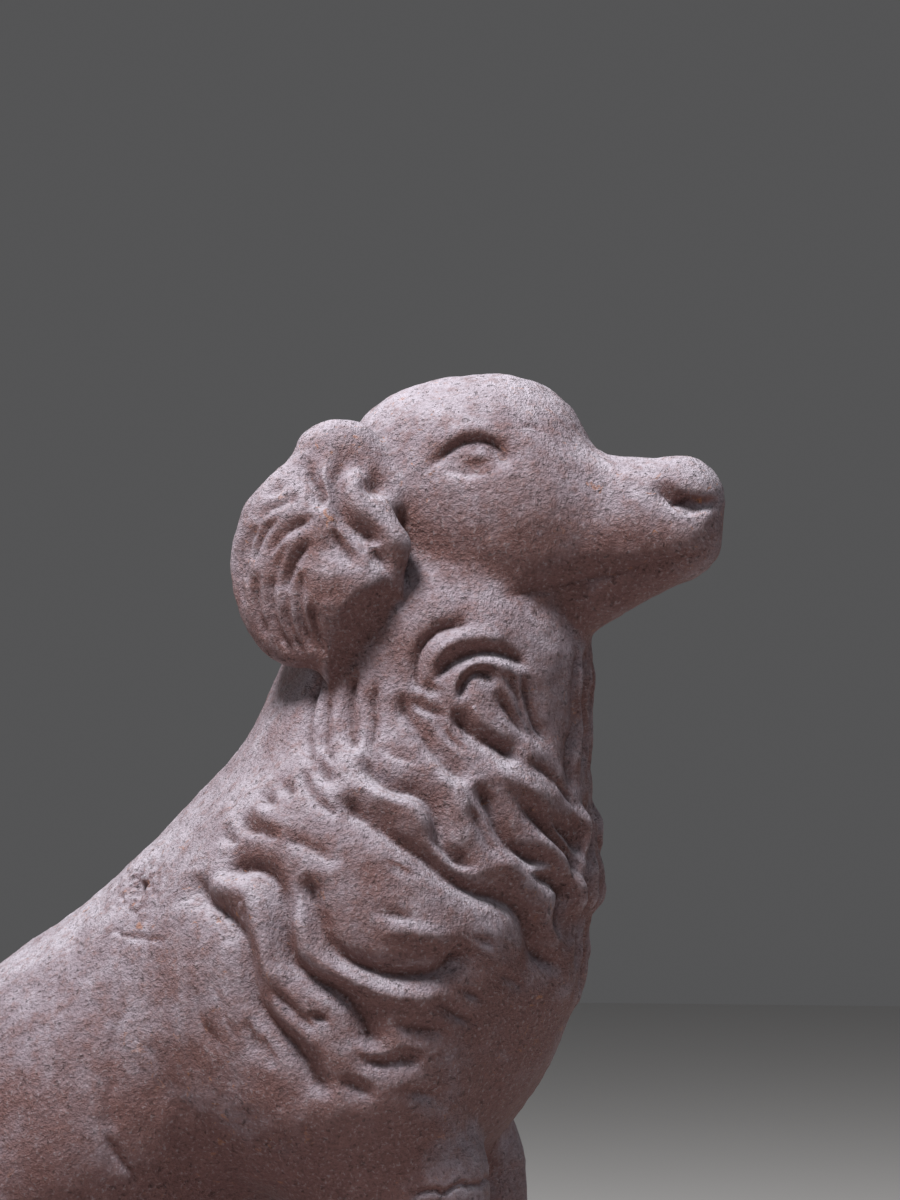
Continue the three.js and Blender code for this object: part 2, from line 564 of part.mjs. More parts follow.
// Carves a surface: each of its points moves along the figure's slope there.
function raised({ points, faces }) {
  const moved = points.slice();
  for (let i = 0; i < points.length; i += 3) {
    const [x, y, z] = [points[i], points[i + 1], points[i + 2]];
    const height = carvedHeight(x, y, z);
    if (!height) continue;
    const here = figure(x, y, z);
    const slope = [figure(x + NUDGE, y, z) - here, figure(x, y + NUDGE, z) - here, figure(x, y, z + NUDGE) - here];
    const size = Math.hypot(...slope);
    for (let k = 0; k < 3; k++) moved[i + k] += (slope[k] / size) * height;
  }
  return { points: evened(moved, faces), faces };
}

// Evens a surface out: each point goes part of the way to the middle of the points around it.
function evened(points, faces) {
  let now = points;
  for (let round = 0; round < EVEN_ROUNDS; round++) {
    const sum = new Float64Array(now.length);
    const count = new Uint8Array(now.length / 3);
    for (let f = 0; f < faces.length; f++) {
      const v = faces[f];
      const next = faces[f - (f % 3) + ((f + 1) % 3)];
      count[v] += 1;
      for (let k = 0; k < 3; k++) sum[v * 3 + k] += now[next * 3 + k];
    }
    now = now.map((value, i) => value + EVEN_SHARE * (sum[i] / count[Math.floor(i / 3)] - value));
  }
  return now;
}

// Samples a field on a grid of cubes. A block that lies well off the surface takes one value throughout.
function sampled(field) {
  const count = GRID_FROM.map((low, i) => Math.ceil((GRID_TO[i] - low) / GRID / BLOCK) * BLOCK + 1);
  const [nx, ny, nz] = count;
  const values = new Float32Array(nx * ny * nz);
  const at = (i, axis) => GRID_FROM[axis] + i * GRID;
  const reach = (GRID * BLOCK * Math.sqrt(3)) / 2;
  for (let bz = 0; bz < nz; bz += BLOCK)
    for (let by = 0; by < ny; by += BLOCK)
      for (let bx = 0; bx < nx; bx += BLOCK) {
        const half = (BLOCK - 1) / 2;
        const middle = field(at(bx + half, 0), at(by + half, 1), at(bz + half, 2));
        const far = Math.abs(middle) > 1.6 * reach;
        for (let z = bz; z < Math.min(bz + BLOCK, nz); z++)
          for (let y = by; y < Math.min(by + BLOCK, ny); y++)
            for (let x = bx; x < Math.min(bx + BLOCK, nx); x++)
              values[(z * ny + y) * nx + x] = far ? middle : field(at(x, 0), at(y, 1), at(z, 2));
      }
  // the grid's outermost layers count as outside, which closes the figure under the ground
  for (let z = 0; z < nz; z++)
    for (let y = 0; y < ny; y++)
      for (let x = 0; x < nx; x++)
        if (!x || !y || !z || x === nx - 1 || y === ny - 1 || z === nz - 1) values[(z * ny + y) * nx + x] = GRID;
  return { values, count };
}

// Draws the zero surface through the grid: six tetrahedra a cube, so that the result is always closed.
function surfaceOf({ values, count }) {
  const [nx, ny, nz] = count;
  const corner = [0, 1, nx, nx + 1, nx * ny, nx * ny + 1, nx * ny + nx, nx * ny + nx + 1];
  const paths = [
    [1, 3],
    [3, 2],
    [2, 6],
    [6, 4],
    [4, 5],
    [5, 1],
  ];
  const points = [];
  const faces = [];
  const known = new Map();
  const pointBetween = (a, b) => {
    const low = Math.min(a, b);
    const high = Math.max(a, b);
    const key = low * 8 + corner.indexOf(high - low);
    const old = known.get(key);
    if (old !== undefined) return old;
    const t = clamp(values[low] / (values[low] - values[high]), 0.02, 0.98);
    const place = (g) => [g % nx, Math.floor(g / nx) % ny, Math.floor(g / (nx * ny))];
    const p = place(low);
    const q = place(high);
    const made = points.length / 3;
    for (let i = 0; i < 3; i++) points.push(GRID_FROM[i] + GRID * (p[i] + t * (q[i] - p[i])));
    known.set(key, made);
    return made;
  };
  const addFace = (a, b, c, turned) => (turned ? faces.push(a, c, b) : faces.push(a, b, c));
  for (let z = 0; z < nz - 1; z++)
    for (let y = 0; y < ny - 1; y++)
      for (let x = 0; x < nx - 1; x++) {
        const start = (z * ny + y) * nx + x;
        const inside = corner.map((o) => values[start + o] < 0);
        if (inside.every((v) => v === inside[0])) continue;
        for (const [b, c] of paths) {
          const tet = [0, b, c, 7];
          const ins = tet.filter((k) => inside[k]);
          const outs = tet.filter((k) => !inside[k]);
          if (!ins.length || !outs.length) continue;
          const order = [...ins, ...outs].map((k) => tet.indexOf(k));
          let turned = false;
          for (let i = 0; i < 4; i++) for (let j = i + 1; j < 4; j++) if (order[i] > order[j]) turned = !turned;
          const edge = (i, o) => pointBetween(start + corner[i], start + corner[o]);
          if (ins.length === 1) {
            addFace(edge(ins[0], outs[0]), edge(ins[0], outs[1]), edge(ins[0], outs[2]), turned);
          } else if (ins.length === 3) {
            addFace(edge(ins[0], outs[0]), edge(ins[1], outs[0]), edge(ins[2], outs[0]), turned);
          } else {
            const four = [
              edge(ins[0], outs[0]),
              edge(ins[0], outs[1]),
              edge(ins[1], outs[1]),
              edge(ins[1], outs[0]),
            ];
            addFace(four[0], four[1], four[2], turned);
            addFace(four[0], four[2], four[3], turned);
          }
        }
      }
  return { points, faces };
}

// Thins a closed surface to a count of faces: the edge whose loss moves the surface least goes first.
const EVEN_OUT = 5e-4;
function thinned({ points, faces }, wanted) {
  const vertexCount = points.length / 3;
  const at = Float64Array.from(points);
  const face = Int32Array.from(faces);
  const around = Array.from({ length: vertexCount }, () => []);
  const quadric = new Float64Array(vertexCount * 10);
  const stamp = new Int32Array(vertexCount);
  const alive = new Uint8Array(face.length / 3).fill(1);
  const cross = (p, q, r) => {
    const [ax, ay, az] = [at[q] - at[p], at[q + 1] - at[p + 1], at[q + 2] - at[p + 2]];
    const [bx, by, bz] = [at[r] - at[p], at[r + 1] - at[p + 1], at[r + 2] - at[p + 2]];
    return [ay * bz - az * by, az * bx - ax * bz, ax * by - ay * bx];
  };
  for (let f = 0; f < alive.length; f++) {
    const corners = face.subarray(f * 3, f * 3 + 3);
    const n = cross(corners[0] * 3, corners[1] * 3, corners[2] * 3);
    const size = Math.hypot(...n) || 1e-12;
    const [a, b, c] = n.map((v) => v / size);
    const d = -(a * at[corners[0] * 3] + b * at[corners[0] * 3 + 1] + c * at[corners[0] * 3 + 2]);
    const plane = [a * a, a * b, a * c, a * d, b * b, b * c, b * d, c * c, c * d, d * d];
    for (const v of corners) {
      around[v].push(f);
      for (let i = 0; i < 10; i++) quadric[v * 10 + i] += (plane[i] * size) / 6;
    }
  }
  const sum = new Float64Array(10);
  const best = [0, 0, 0];
  // the new point for an edge goes into best, and what it costs comes back
  const price = (u, v) => {
    for (let i = 0; i < 10; i++) sum[i] = quadric[u * 10 + i] + quadric[v * 10 + i];
    const [xx, xy, xz, xd, yy, yz, yd, zz, zd, dd] = sum;
    const long = Math.hypot(at[u * 3] - at[v * 3], at[u * 3 + 1] - at[v * 3 + 1], at[u * 3 + 2] - at[v * 3 + 2]);
    const even = EVEN_OUT * (xx + yy + zz);
    const mid = [0, 1, 2].map((i) => (at[u * 3 + i] + at[v * 3 + i]) / 2);
    const [a, e, h] = [xx + even, yy + even, zz + even];
    const [r, s, t] = [even * mid[0] - xd, even * mid[1] - yd, even * mid[2] - zd];
    const whole = a * (e * h - yz * yz) - xy * (xy * h - yz * xz) + xz * (xy * yz - e * xz);
    if (Math.abs(whole) > 1e-12) {
      best[0] = (r * (e * h - yz * yz) - xy * (s * h - yz * t) + xz * (s * yz - e * t)) / whole;
      best[1] = (a * (s * h - yz * t) - r * (xy * h - yz * xz) + xz * (xy * t - s * xz)) / whole;
      best[2] = (a * (e * t - s * yz) - xy * (xy * t - s * xz) + r * (xy * yz - e * xz)) / whole;
    }
    if (Math.abs(whole) <= 1e-12 || Math.hypot(best[0] - mid[0], best[1] - mid[1], best[2] - mid[2]) > long)
      mid.forEach((value, i) => (best[i] = value));
    const [x, y, z] = best;
    const error = xx * x * x + yy * y * y + zz * z * z + 2 * (xy * x * y + xz * x * z + yz * y * z);
    return Math.max(error + 2 * (xd * x + yd * y + zd * z) + dd, 0) + EVEN_OUT * long * long;
  };
  // a heap of edges, the cheapest on top
  const heap = [];
  const push = (u, v) => {
    const entry = { cost: price(u, v), u, v, stamp: stamp[u] + stamp[v] };
    let i = heap.push(entry) - 1;
    while (i > 0) {
      const up = (i - 1) >> 1;
      if (heap[up].cost <= entry.cost) break;
      heap[i] = heap[up];
      i = up;
    }
    heap[i] = entry;
  };
  const pop = () => {
    const top = heap[0];
    const last = heap.pop();
    let i = 0;
    while (heap.length) {
      let down = 2 * i + 1;
      if (down >= heap.length) break;
      if (down + 1 < heap.length && heap[down + 1].cost < heap[down].cost) down += 1;
      if (heap[down].cost >= last.cost) break;
      heap[i] = heap[down];
      i = down;
    }
    if (heap.length) heap[i] = last;
    return top;
  };
  const neighbours = (v) => {
    const found = new Set();
    for (const f of around[v]) for (let k = 0; k < 3; k++) found.add(face[f * 3 + k]);
    found.delete(v);
    return found;
  };
  for (let f = 0; f < alive.length; f++)
    for (let k = 0; k < 3; k++) {
      const u = face[f * 3 + k];
      const v = face[f * 3 + ((k + 1) % 3)];
      if (u < v) push(u, v);
    }
  // whether moving a corner to best would turn any of its faces over
  const turnsOver = (v, other) =>
    around[v].some((f) => {
      const ids = [face[f * 3], face[f * 3 + 1], face[f * 3 + 2]];
      if (ids.includes(other)) return false;
      const before = cross(ids[0] * 3, ids[1] * 3, ids[2] * 3);
      const old = [at[v * 3], at[v * 3 + 1], at[v * 3 + 2]];
      for (let i = 0; i < 3; i++) at[v * 3 + i] = best[i];
      const after = cross(ids[0] * 3, ids[1] * 3, ids[2] * 3);
      for (let i = 0; i < 3; i++) at[v * 3 + i] = old[i];
      const dot = before[0] * after[0] + before[1] * after[1] + before[2] * after[2];
      return dot < 0.3 * Math.hypot(...before) * Math.hypot(...after) || Math.hypot(...after) < 1e-6;
    });
  let left = alive.length;
  const gone = new Uint8Array(vertexCount);
  while (left > wanted && heap.length) {
    const { u, v, stamp: then } = pop();
    if (gone[u] || gone[v] || then !== stamp[u] + stamp[v]) continue;
    const nearU = neighbours(u);
    const nearV = neighbours(v);
    if (!nearU.has(v)) continue;
    const shared = [...nearU].filter((w) => nearV.has(w));
    if (shared.length !== 2) continue;
    price(u, v);
    if (turnsOver(u, v) || turnsOver(v, u)) continue;
    for (let i = 0; i < 3; i++) at[u * 3 + i] = best[i];
    for (let i = 0; i < 10; i++) quadric[u * 10 + i] += quadric[v * 10 + i];
    for (const f of around[v]) {
      const ids = face.subarray(f * 3, f * 3 + 3);
      if (ids.includes(u)) {
        alive[f] = 0;
        left -= 1;
        for (const w of ids) if (w !== v) around[w] = around[w].filter((g) => g !== f);
      } else {
        ids[ids.indexOf(v)] = u;
        around[u].push(f);
      }
    }
    gone[v] = 1;
    around[v] = [];
    stamp[u] += 1;
    for (const w of neighbours(u)) push(u, w);
  }
  const kept = [];
  for (let f = 0; f < alive.length; f++) if (alive[f]) kept.push(face[f * 3], face[f * 3 + 1], face[f * 3 + 2]);
  return { points: at, faces: kept };
}

function geometryOf({ points, faces }) {
  const geometry = new THREE.BufferGeometry();
  geometry.setAttribute("position", new THREE.BufferAttribute(Float32Array.from(points), 3));
  geometry.setIndex(faces);
  const loose = geometry.toNonIndexed();
  return mergeVertices(loose, 1e-4);
}

const wasm = await Module();
wasm.setup();

function solidOf(geometry) {
  const bare = new THREE.BufferGeometry();
  bare.setAttribute("position", geometry.getAttribute("position"));
  if (geometry.index) bare.setIndex(geometry.index);
  const merged = mergeVertices(bare, 1e-4);
  const mesh = new wasm.Mesh({
    numProp: 3,
    vertProperties: merged.attributes.position.array,
    triVerts: new Uint32Array(merged.index.array),
  });
  return new wasm.Manifold(mesh);
}

function geometryFrom(solid) {
  const mesh = solid.getMesh();
  const geometry = new THREE.BufferGeometry();
  geometry.setAttribute("position", new THREE.BufferAttribute(mesh.vertProperties, 3));
  geometry.setIndex(new THREE.BufferAttribute(mesh.triVerts, 1));
  return geometry;
}

// The dog: its surface thinned, scaled, and cut flat where it stands.
function dogSolid() {
  const whole = solidOf(geometryOf(thinned(raised(surfaceOf(sampled(figure))), FACES)).scale(PART, PART, PART));
  const ground = new THREE.BoxGeometry(4 * DOG_HEIGHT, 4 * DOG_HEIGHT, DOG_HEIGHT);
  ground.translate(0, 0, -DOG_HEIGHT / 2);
  return whole.subtract(solidOf(ground));
}

// A rectangular plinth with rounded corners and a softened upper edge, from z = 0 to PLINTH_HEIGHT.
function plinthGeometry(size) {
  const halfLength = size.x / 2 - PLINTH_BEVEL;
  const halfWidth = size.y / 2 - PLINTH_BEVEL;
  const round = PLINTH_CORNER - PLINTH_BEVEL;
  const outline = new THREE.Shape();
  outline.moveTo(-halfLength + round, -halfWidth);
  outline.lineTo(halfLength - round, -halfWidth);
  outline.absarc(halfLength - round, -halfWidth + round, round, -Math.PI / 2, 0);
  outline.absarc(halfLength - round, halfWidth - round, round, 0, Math.PI / 2);
  outline.absarc(-halfLength + round, halfWidth - round, round, Math.PI / 2, Math.PI);
  outline.absarc(-halfLength + round, -halfWidth + round, round, Math.PI, (3 * Math.PI) / 2);
  const body = new THREE.ExtrudeGeometry(outline, {
    depth: PLINTH_HEIGHT,
    bevelThickness: PLINTH_BEVEL,
    bevelSize: PLINTH_BEVEL,
    bevelSegments: 2,
    curveSegments: 5,
  });
  body.translate(0, 0, -PLINTH_BEVEL);
  const below = new THREE.BoxGeometry(2 * size.x, 2 * size.y, PLINTH_BEVEL * 2);
  below.translate(0, 0, -PLINTH_BEVEL);
  return geometryFrom(solidOf(body).subtract(solidOf(below)));
}

function footprintOf(geometry) {
  const box = new THREE.Box3();
  const point = new THREE.Vector3();
  const position = geometry.getAttribute("position");
  for (let i = 0; i < position.count; i++) {
    point.fromBufferAttribute(position, i);
    if (point.z < FOOT_PARTS * PART) box.expandByPoint(point);
  }
  return box;
}

const material = new THREE.MeshStandardMaterial();
const dogGeometry = geometryFrom(dogSolid());
const footprint = footprintOf(dogGeometry);
const reachAside = Math.max(-footprint.min.y, footprint.max.y);
const middle = FIGURE_MIDDLE * PART;
const reachAlong = Math.max(footprint.max.x - middle, middle - footprint.min.x);
const plinthSize = {
  x: 2 * (reachAlong + PLINTH_MARGIN),
  y: 2 * (reachAside + PLINTH_MARGIN),
};
dogGeometry.translate(-middle, 0, PLINTH_HEIGHT);

const dog = new THREE.Mesh(dogGeometry, material);
dog.name = "dog";
const base = new THREE.Mesh(plinthGeometry(plinthSize), material);
base.name = "base";

const statue = new THREE.Group();
statue.name = "root";
statue.add(dog, base);
export default statue;
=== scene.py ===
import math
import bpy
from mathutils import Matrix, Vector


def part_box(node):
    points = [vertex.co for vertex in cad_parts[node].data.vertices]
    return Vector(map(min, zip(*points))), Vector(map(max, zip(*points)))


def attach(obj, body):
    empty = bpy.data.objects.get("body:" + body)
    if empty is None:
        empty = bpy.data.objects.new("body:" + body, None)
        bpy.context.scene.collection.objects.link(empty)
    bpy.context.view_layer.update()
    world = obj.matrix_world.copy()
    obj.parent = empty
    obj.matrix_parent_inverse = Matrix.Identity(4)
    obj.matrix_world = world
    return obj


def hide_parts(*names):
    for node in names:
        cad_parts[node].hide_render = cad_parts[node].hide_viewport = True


bl_info = {
    "name": "Seated iron dog",
    "version": (1, 0, 0),
    "blender": (4, 5, 0),
    "location": "View3D > Sidebar > Iron Dog",
    "description": "A seated long-haired dog in weathered cast iron on a low plinth",
    "category": "Add Mesh",
}

import bpy
import numpy as np
from mathutils import Vector

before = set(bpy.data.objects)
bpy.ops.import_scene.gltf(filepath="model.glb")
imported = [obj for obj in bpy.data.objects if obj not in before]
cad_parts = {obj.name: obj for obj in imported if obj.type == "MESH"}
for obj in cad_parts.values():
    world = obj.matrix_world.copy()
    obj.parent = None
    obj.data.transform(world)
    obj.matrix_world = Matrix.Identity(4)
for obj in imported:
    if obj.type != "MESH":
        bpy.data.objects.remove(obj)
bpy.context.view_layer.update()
PLINTH_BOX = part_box("base")

# The dog's own measures are in parts of a millimetre each. They start on the plinth's top, in the dog's
# middle plane. The dog's two sides are alike but for the head's turn and the tail.
PART = 0.001
FIGURE_MIDDLE = 18
PLINTH_TOP = PLINTH_BOX[1].z
HEAD_AT = [255, 0, 721]
HEAD_YAW = -6
HEAD_SOFT = 12
EAR_SOFT = 5
TAIL_SOFT = 10
LEG_SOFT = 12
HAUNCH_SOFT = 16
GIRTH = 115
HAIR_LOW = 262
HAIR_HIGH = 640
HEAD = [
    {"name": "skull", "egg": [-6, 0, -4], "reach": [84, 62, 65.5]},
    {"name": "brow", "egg": [22, 0, 0], "reach": [51, 49, 58.5], "soft": 14},
    {"name": "cheek", "egg": [0, 24, -40], "reach": [72, 42, 54], "tilt": 8, "soft": 24},
    {"name": "cheek's front", "egg": [46, 18, -30], "reach": [48, 30, 38], "soft": 26},
    {"name": "throat", "egg": [20, 0, -72], "reach": [62, 46, 40], "tilt": 20, "soft": 24},
    {"name": "muzzle", "bone": [48, 0, -28], "to": [134, 0, -25.5],
     "thick": [38, 31], "wide": 0.94, "soft": 16},
    {"name": "flews", "bone": [60, 9, -50], "to": [138, 5, -46],
     "thick": [30, 24], "wide": 0.95, "soft": 14},
    {"name": "jaw", "bone": [71, 0, -80], "to": [137, 0, -51],
     "thick": [27, 23], "wide": 0.9, "soft": 12},
    {"name": "nose", "egg": [141, 0, -19], "reach": [25, 26, 24], "tilt": -8, "soft": 8},
    {"name": "eye socket", "egg": [27, 70, 4], "reach": [23, 13, 8.5],
     "tilt": 6, "soft": 12, "carved": True},
    {"name": "eyeball", "egg": [18, 45, 4], "reach": [17, 14.5, 8], "soft": 3},
    {"name": "nostril", "bone": [150, 30, -29], "to": [166, 14, -26],
     "thick": [5.5, 4], "soft": 3, "carved": True},
    {"name": "nose wing", "bone": [134, 31, -12], "to": [151, 30, -28],
     "thick": [3, 4.5], "soft": 4, "carved": True},
]
EAR = [
    {"name": "ear root", "bone": [-68, 58, 4], "to": [-42, 60, -22], "thick": [26, 21], "wide": 0.8},
    {"name": "ear's upper part", "bone": [-74, 68, 2], "to": [-88, 82, -46],
     "thick": [24, 40], "wide": 0.55, "soft": 14},
    {"name": "ear lobe", "egg": [-78, 83, -62], "reach": [58, 23, 62], "tilt": 6, "soft": 12},
    {"name": "ear's back", "egg": [-86, 86, -82], "reach": [43, 20, 50], "soft": 8},
    {"name": "ear's point", "bone": [-66, 87, -92], "to": [-60, 87, -138],
     "thick": [42, 11], "wide": 0.5, "soft": 8},
]
EAR_BEVEL = {"way": [0.66, 0.6, -0.45], "out": 71, "soft": 2}
BODY = [
    {"name": "neck", "bone": [257, 0, 590], "to": [237, 0, 470], "thick": [76, 90]},
    {"name": "nape", "bone": [212, 0, 610], "to": [184, 0, 500], "thick": [71, 90], "soft": 50},
    {"name": "ruff", "egg": [212, 0, 450], "reach": [112, 111, 128], "tilt": 6, "soft": 40},
    {"name": "chest", "egg": [175, 0, 378], "reach": [130, 124, 134], "tilt": -32, "soft": 46},
    {"name": "ribs", "bone": [140, 0, 408], "to": [8, 0, 302],
     "thick": [116, 114], "wide": 1.02, "soft": 40},
    {"name": "loin", "bone": [8, 0, 302], "to": [-82, 0, 236],
     "thick": [112, 106], "wide": 1.02, "soft": 30},
    {"name": "rump", "bone": [-84, 0, 232], "to": [-134, 0, 105],
     "thick": [106, 96], "wide": 1.08, "soft": 40},
    {"name": "shoulder", "egg": [180, 84, 400], "reach": [84, 52, 130], "tilt": -12, "soft": 40},
    {"name": "upper arm", "bone": [190, 76, 330], "to": [208, 64, 275],
     "thick": [66, 56], "wide": 0.9, "soft": 26},
]
FORELEG = [
    {"name": "forearm", "bone": [226, 60, 265], "to": [242, 58, 85], "thick": [51, 35], "wide": 0.86},
    {"name": "feather", "bone": [210, 60, 250], "to": [210, 58, 120],
     "thick": [34, 20], "wide": 0.7, "soft": 14},
    {"name": "pastern", "bone": [242, 58, 90], "to": [250, 58, 35],
     "thick": [35, 37], "wide": 0.95, "soft": 12},
    {"name": "forepaw", "bone": [256, 58, 28], "to": [294, 60, 22],
     "thick": [35, 29], "wide": 1.2, "soft": 12},
]
HAUNCH = [
    {"name": "thigh", "egg": [-95, 88, 160], "reach": [118, 62, 108], "tilt": 30},
    {"name": "knee", "bone": [-80, 102, 155], "to": [-12, 110, 160],
     "thick": [66, 46], "wide": 0.8, "soft": 40},
    {"name": "shank", "bone": [-12, 108, 150], "to": [-160, 104, 45],
     "thick": [42, 34], "wide": 0.8, "soft": 24},
]
HINDFOOT = [
    {"name": "hock", "bone": [-160, 104, 32], "to": [0, 112, 26], "thick": [33, 29]},
    {"name": "hindpaw", "bone": [0, 112, 26], "to": [48, 114, 21],
     "thick": [32, 28], "wide": 1.25, "soft": 12},
]
TAIL = {"middle": [-150, -55], "reach": [95, 95], "from": 150, "sweep": 155, "joints": 10, "soft": 12}
TAIL_THICK = {"root": 34, "swell": 8, "taper": 26}
TAIL_LIFT = {"root": 70, "drop": 40, "quick": 2.2, "sink": 8}
AXIS = {"across": 150, "lean": 0.425, "about": 400, "low": 250, "high": 640}
TOES = [
    {"middle": 59, "front": 268, "gap": 15},
    {"middle": 113, "front": 22, "gap": 15},
]
TOE_GROOVE = {"depth": 4.5, "width": 3.4, "high": 70}
TOE_FRONT_FADE = 18
TOE_HIGH_FADE = (0, 20)
